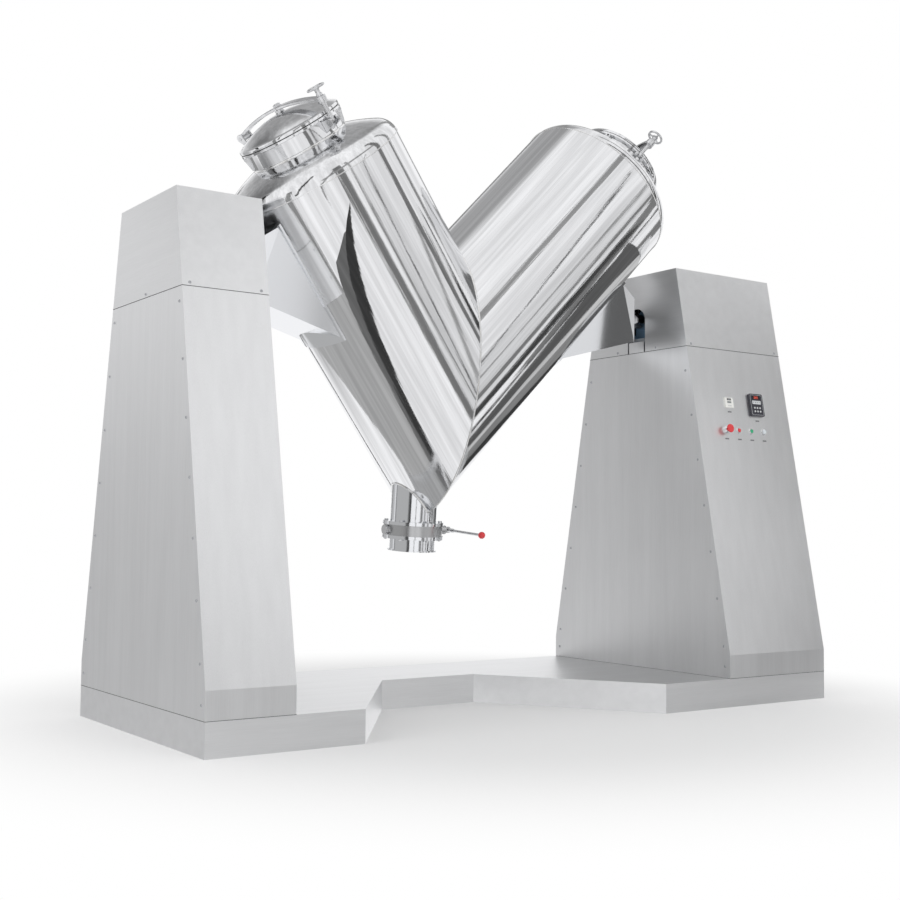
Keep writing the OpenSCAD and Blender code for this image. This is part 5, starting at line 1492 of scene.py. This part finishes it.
@dataclass
class Studio:
    """Camera, floor, surroundings and lamps."""

    camera_place: Triple = (-3.4047, -4.6680, 0.7703)
    yaw: float = 0.6073
    pitch: float = 0.0591
    roll: float = 0.0089
    focal_pixels: float = 1312.84
    image: float = 900.0
    middle: Point2 = (449.8, 451.2)
    sensor: float = 36.0
    far_clip: float = 200.0
    floor_half: float = 60.0
    floor_drop: float = 0.0005
    floor_near: float = 1.2
    floor_far: float = 2.7
    fill: float = 0.75
    grey: float = 0.98
    walls: tuple[Wall, ...] = (
        Wall((-0.25, -0.37, 0.89), 0.78, 0.93, 1.0),
        Wall((0.02, 0.62, 0.78), 0.86, 0.96, 0.40),
        Wall((-0.55, 0.66, 0.52), 0.90, 0.985, 0.22),
        Wall((-0.82, 0.57, 0.06), 0.955, 0.99, 0.20),
        Wall((-0.35, 0.92, -0.16), 0.92, 0.985, 0.48),
        Wall((0.60, -0.79, -0.18), 0.90, 0.97, 0.80),
    )
    flags: tuple[Flag, ...] = (
        Flag(Side.LEFT, (-0.62, -0.28, -0.73), 2.7, 0.40, 0.28),
        Flag(Side.LEFT, (0.10, -0.96, -0.25), 2.6, 0.42, 0.22),
        Flag(Side.LEFT, (0.28, -0.95, -0.12), 2.8, 0.16, 0.30),
        Flag(Side.LEFT, (0.79, -0.52, 0.32), 2.6, 0.34, 0.22),
        Flag(Side.LEFT, (0.90, -0.12, 0.42), 2.8, 0.22, 0.30),
        Flag(Side.LEFT, (0.75, 0.54, 0.39), 2.6, 0.30, 0.34),
        Flag(Side.RIGHT, (0.09, -0.79, 0.60), 2.6, 0.26, 0.36),
        Flag(Side.RIGHT, (0.62, -0.78, 0.10), 2.8, 0.12, 0.36),
        Flag(Side.RIGHT, (0.76, -0.65, -0.02), 2.7, 0.18, 0.24),
        Flag(Side.RIGHT, (0.86, -0.50, -0.10), 2.6, 0.34, 0.06),
        Flag(Side.RIGHT, (0.98, 0.04, -0.18), 2.8, 0.56, 0.22),
        Flag(Side.RIGHT, (0.36, 0.81, 0.46), 2.8, 0.60, 0.30),
        Flag(None, (-0.87, -0.50, 0.0), 4.6, 0.34, 0.03),
        Flag(None, (-0.42, -0.91, 0.0), 4.8, 0.20, 0.05),
        Flag(None, (0.42, -0.91, 0.0), 5.2, 0.12, 0.06),
        Flag(None, (0.95, -0.30, 0.0), 5.2, 0.26, 0.06),
        Flag(None, (-0.90, 0.42, 0.0), 5.2, 0.60, 0.04),
        Flag(None, (0.10, 0.99, 0.0), 5.4, 0.30, 0.05),
    )
    flag_scale: float = 2.2
    flag_length: float = 11.0
    flag_start: float = 0.75
    plumb_foot: float = 1.2
    # Screens between the drum and the pillars' inner faces: painted shade of those faces as the drum mirrors
    # them
    screens: tuple[Screen, ...] = (
        Screen(-0.90, -0.50, -0.36, 0.16, 2.10, 0.05),
        Screen(-0.90, -0.36, -0.28, 0.16, 1.90, 0.16),
        Screen(-0.90, -0.28, 0.50, 0.16, 1.62, 0.46),
        Screen(0.86, -0.50, -0.26, 0.70, 2.00, 0.12),
        Screen(0.86, -0.26, -0.14, 0.70, 2.00, 0.60),
        Screen(0.86, -0.14, 0.16, 0.70, 2.00, 0.26),
        Screen(0.86, 0.16, 0.50, 0.70, 2.00, 0.05),
    )
    lamp_size: float = 3.0

    def build_camera(self) -> None:
        """Camera at the photograph's viewing angle."""
        sy, cy = math.sin(self.yaw), math.cos(self.yaw)
        sp, cp = math.sin(self.pitch), math.cos(self.pitch)
        forward = Vector((sy * cp, cy * cp, sp))
        right = Vector((cy, -sy, 0))
        up = right.cross(forward)
        cr, sr = math.cos(self.roll), math.sin(self.roll)
        right, up = cr * right + sr * up, cr * up - sr * right
        data = bpy.data.cameras.new("view_camera")
        data.sensor_width = self.sensor
        data.lens = self.focal_pixels * self.sensor / self.image
        data.shift_x = (self.image / 2 - self.middle[0]) / self.image
        data.shift_y = (self.middle[1] - self.image / 2) / self.image
        data.clip_end = self.far_clip
        camera = bpy.data.objects.new("view_camera", data)
        turn = Matrix((right, up, -forward)).transposed().to_4x4()
        camera.matrix_world = moved(*self.camera_place) @ turn
        bpy.context.scene.collection.objects.link(camera)
        bpy.context.scene.camera = camera

    def add_card(
        self, name: str, corners: Sequence[Vector], surface: Callable[[Graph], Sock]
    ) -> bpy.types.Object:
        """Adds one flat face of the studio.

        Args:
            name: Its name.
            corners: Its corners, anticlockwise from the front.
            surface: Builds its shader.

        Returns:
            The face's object.
        """
        mesh = bmesh.new()
        mesh.faces.new([mesh.verts.new(corner) for corner in corners])
        card = new_object(name, mesh)
        card.data.materials.append(new_material(name, surface))
        return card

    def floor_surface(self, graph: Graph) -> Sock:
        """Pale floor near the machine, even white beyond its shadow."""
        feeds = {"Base Color": (0.97, 0.97, 0.97), "Roughness": 0.9}
        near = graph.node("ShaderNodeBsdfPrincipled", None, feeds)
        reach = graph.node("ShaderNodeVectorMath", {"operation": "LENGTH"}, {0: graph.place()}, "Value")
        share = graph.smooth(reach, self.floor_near, self.floor_far)
        return graph.node("ShaderNodeMixShader", None, {0: share, 1: near, 2: graph.flat(1.0)})

    def build_floor(self) -> None:
        """Plain pale floor; polished steel mirrors the white surroundings in its place."""
        half, low = self.floor_half, -self.floor_drop
        signs = ((-1, -1), (1, -1), (1, 1), (-1, 1))
        corners = [Vector((x * half, y * half, low)) for x, y in signs]
        floor = self.add_card("studio_floor", corners, self.floor_surface)
        floor.visible_glossy = False

    def add_grey(self, name: str, corners: Sequence[Vector], shade: float) -> None:
        """Adds a grey card that only mirrors see, and only from its front."""

        def surface(graph: Graph) -> Sock:
            """Grey in front and clear behind."""
            clear = graph.node("ShaderNodeBsdfTransparent", None, {"Color": (1.0, 1.0, 1.0)})
            back = graph.node("ShaderNodeNewGeometry", output="Backfacing")
            return graph.node("ShaderNodeMixShader", None, {0: back, 1: graph.flat(shade), 2: clear})

        card = self.add_card(name, corners, surface)
        card.visible_camera = False
        card.visible_diffuse = False
        card.visible_shadow = False
        card.visible_transmission = False

    def build_cards(self) -> None:
        """Grey cards that the drum's polish mirrors as dark streaks; the screens among them are painted
        shade of the pillars' inner faces.
        """
        for number, flag in enumerate(self.flags):
            stand = PLAN.leg(flag.side) if flag.side else moved(0, 0, self.plumb_foot)
            axis = (stand.to_3x3() @ UP).normalized()
            out = Vector(flag.direction).normalized()
            centre = stand @ Vector((0, 0, self.flag_start)) + out * flag.distance * self.flag_scale
            half = out.cross(axis).normalized() * flag.width * self.flag_scale / 2
            reach = axis * self.flag_length / 2
            corners = [centre + p for p in (-half - reach, half - reach, half + reach, reach - half)]
            self.add_grey(f"studio_flag_{number}", corners, flag.shade)
        # The screens paint the shade of the pillars' inner faces into the drum's reflection
        for number, screen in enumerate(self.screens):
            y, z = (screen.front, screen.back), (screen.low, screen.high)
            if screen.x > 0:
                y = (screen.back, screen.front)
            corners = [Vector((screen.x, y[i], z[j])) for i, j in ((0, 0), (1, 0), (1, 1), (0, 1))]
            self.add_grey(f"studio_screen_{number}", corners, screen.shade)

    def build_sky(self) -> None:
        """White surroundings, with grey walls that the polished steel mirrors."""
        world = bpy.data.worlds.new("studio_sky")
        bpy.context.scene.world = world
        world.use_nodes = True
        graph = Graph(world.node_tree)
        ray = graph.node("ShaderNodeTexCoord", output="Generated")
        grey: Feed = self.grey
        for wall in self.walls:
            part = graph.smooth(graph.along(ray, wall.direction), wall.edge, wall.core)
            grey = part * wall.shade + (1 - part) * grey
        mirrored = graph.node("ShaderNodeCombineColor", None, {0: grey, 1: grey, 2: grey * 1.01})
        camera, glossy, through = (
            graph.node("ShaderNodeLightPath", output=f"Is {kind} Ray")
            for kind in ("Camera", "Glossy", "Transmission")
        )
        lit = graph.mix(glossy, (self.fill, self.fill, self.fill), mirrored)
        colour = graph.mix(camera + through, lit, (1.0, 1.0, 1.0))
        shader = graph.node("ShaderNodeBackground", None, {"Color": colour, "Strength": 1.0})
        graph.node("ShaderNodeOutputWorld", None, {"Surface": shader})

    def build_lamp(self, name: str, place: Triple, target: Triple, power: float) -> None:
        """Adds one soft lamp.

        Args:
            name: Its name.
            place: Where it hangs.
            target: What it looks at.
            power: Its power in watts.
        """
        data = bpy.data.lights.new(name, "AREA")
        data.size = self.lamp_size
        data.energy = power
        lamp = bpy.data.objects.new(name, data)
        aim = Vector(target) - Vector(place)
        lamp.matrix_world = moved(*place) @ aim.to_track_quat("-Z", "Y").to_matrix().to_4x4()
        lamp.visible_glossy = False
        bpy.context.scene.collection.objects.link(lamp)

    def build(self) -> None:
        """Builds the studio."""
        bpy.context.scene.view_settings.view_transform = "Standard"
        self.build_camera()
        self.build_floor()
        self.build_cards()
        self.build_sky()
        self.build_lamp("left_softbox", (-6.5, -1.0, 4.6), (0.0, 0.0, 1.2), 60.0)
        self.build_lamp("front_softbox", (1.0, -6.5, 5.0), (0.0, 0.0, 1.0), 40.0)


def main() -> None:
    logging.basicConfig(level=logging.INFO, format="%(name)s %(message)s")
    Studio().build()
    Cladding().build()
    for side in Side:
        DrumShell(side).build()
        Manway(side).build()
    SeamWeld().build()
    Running().build_shafts()
    Outlet().build()
    Running().build_drive()
    Controls().build()


if __name__ == "__main__":
    main()
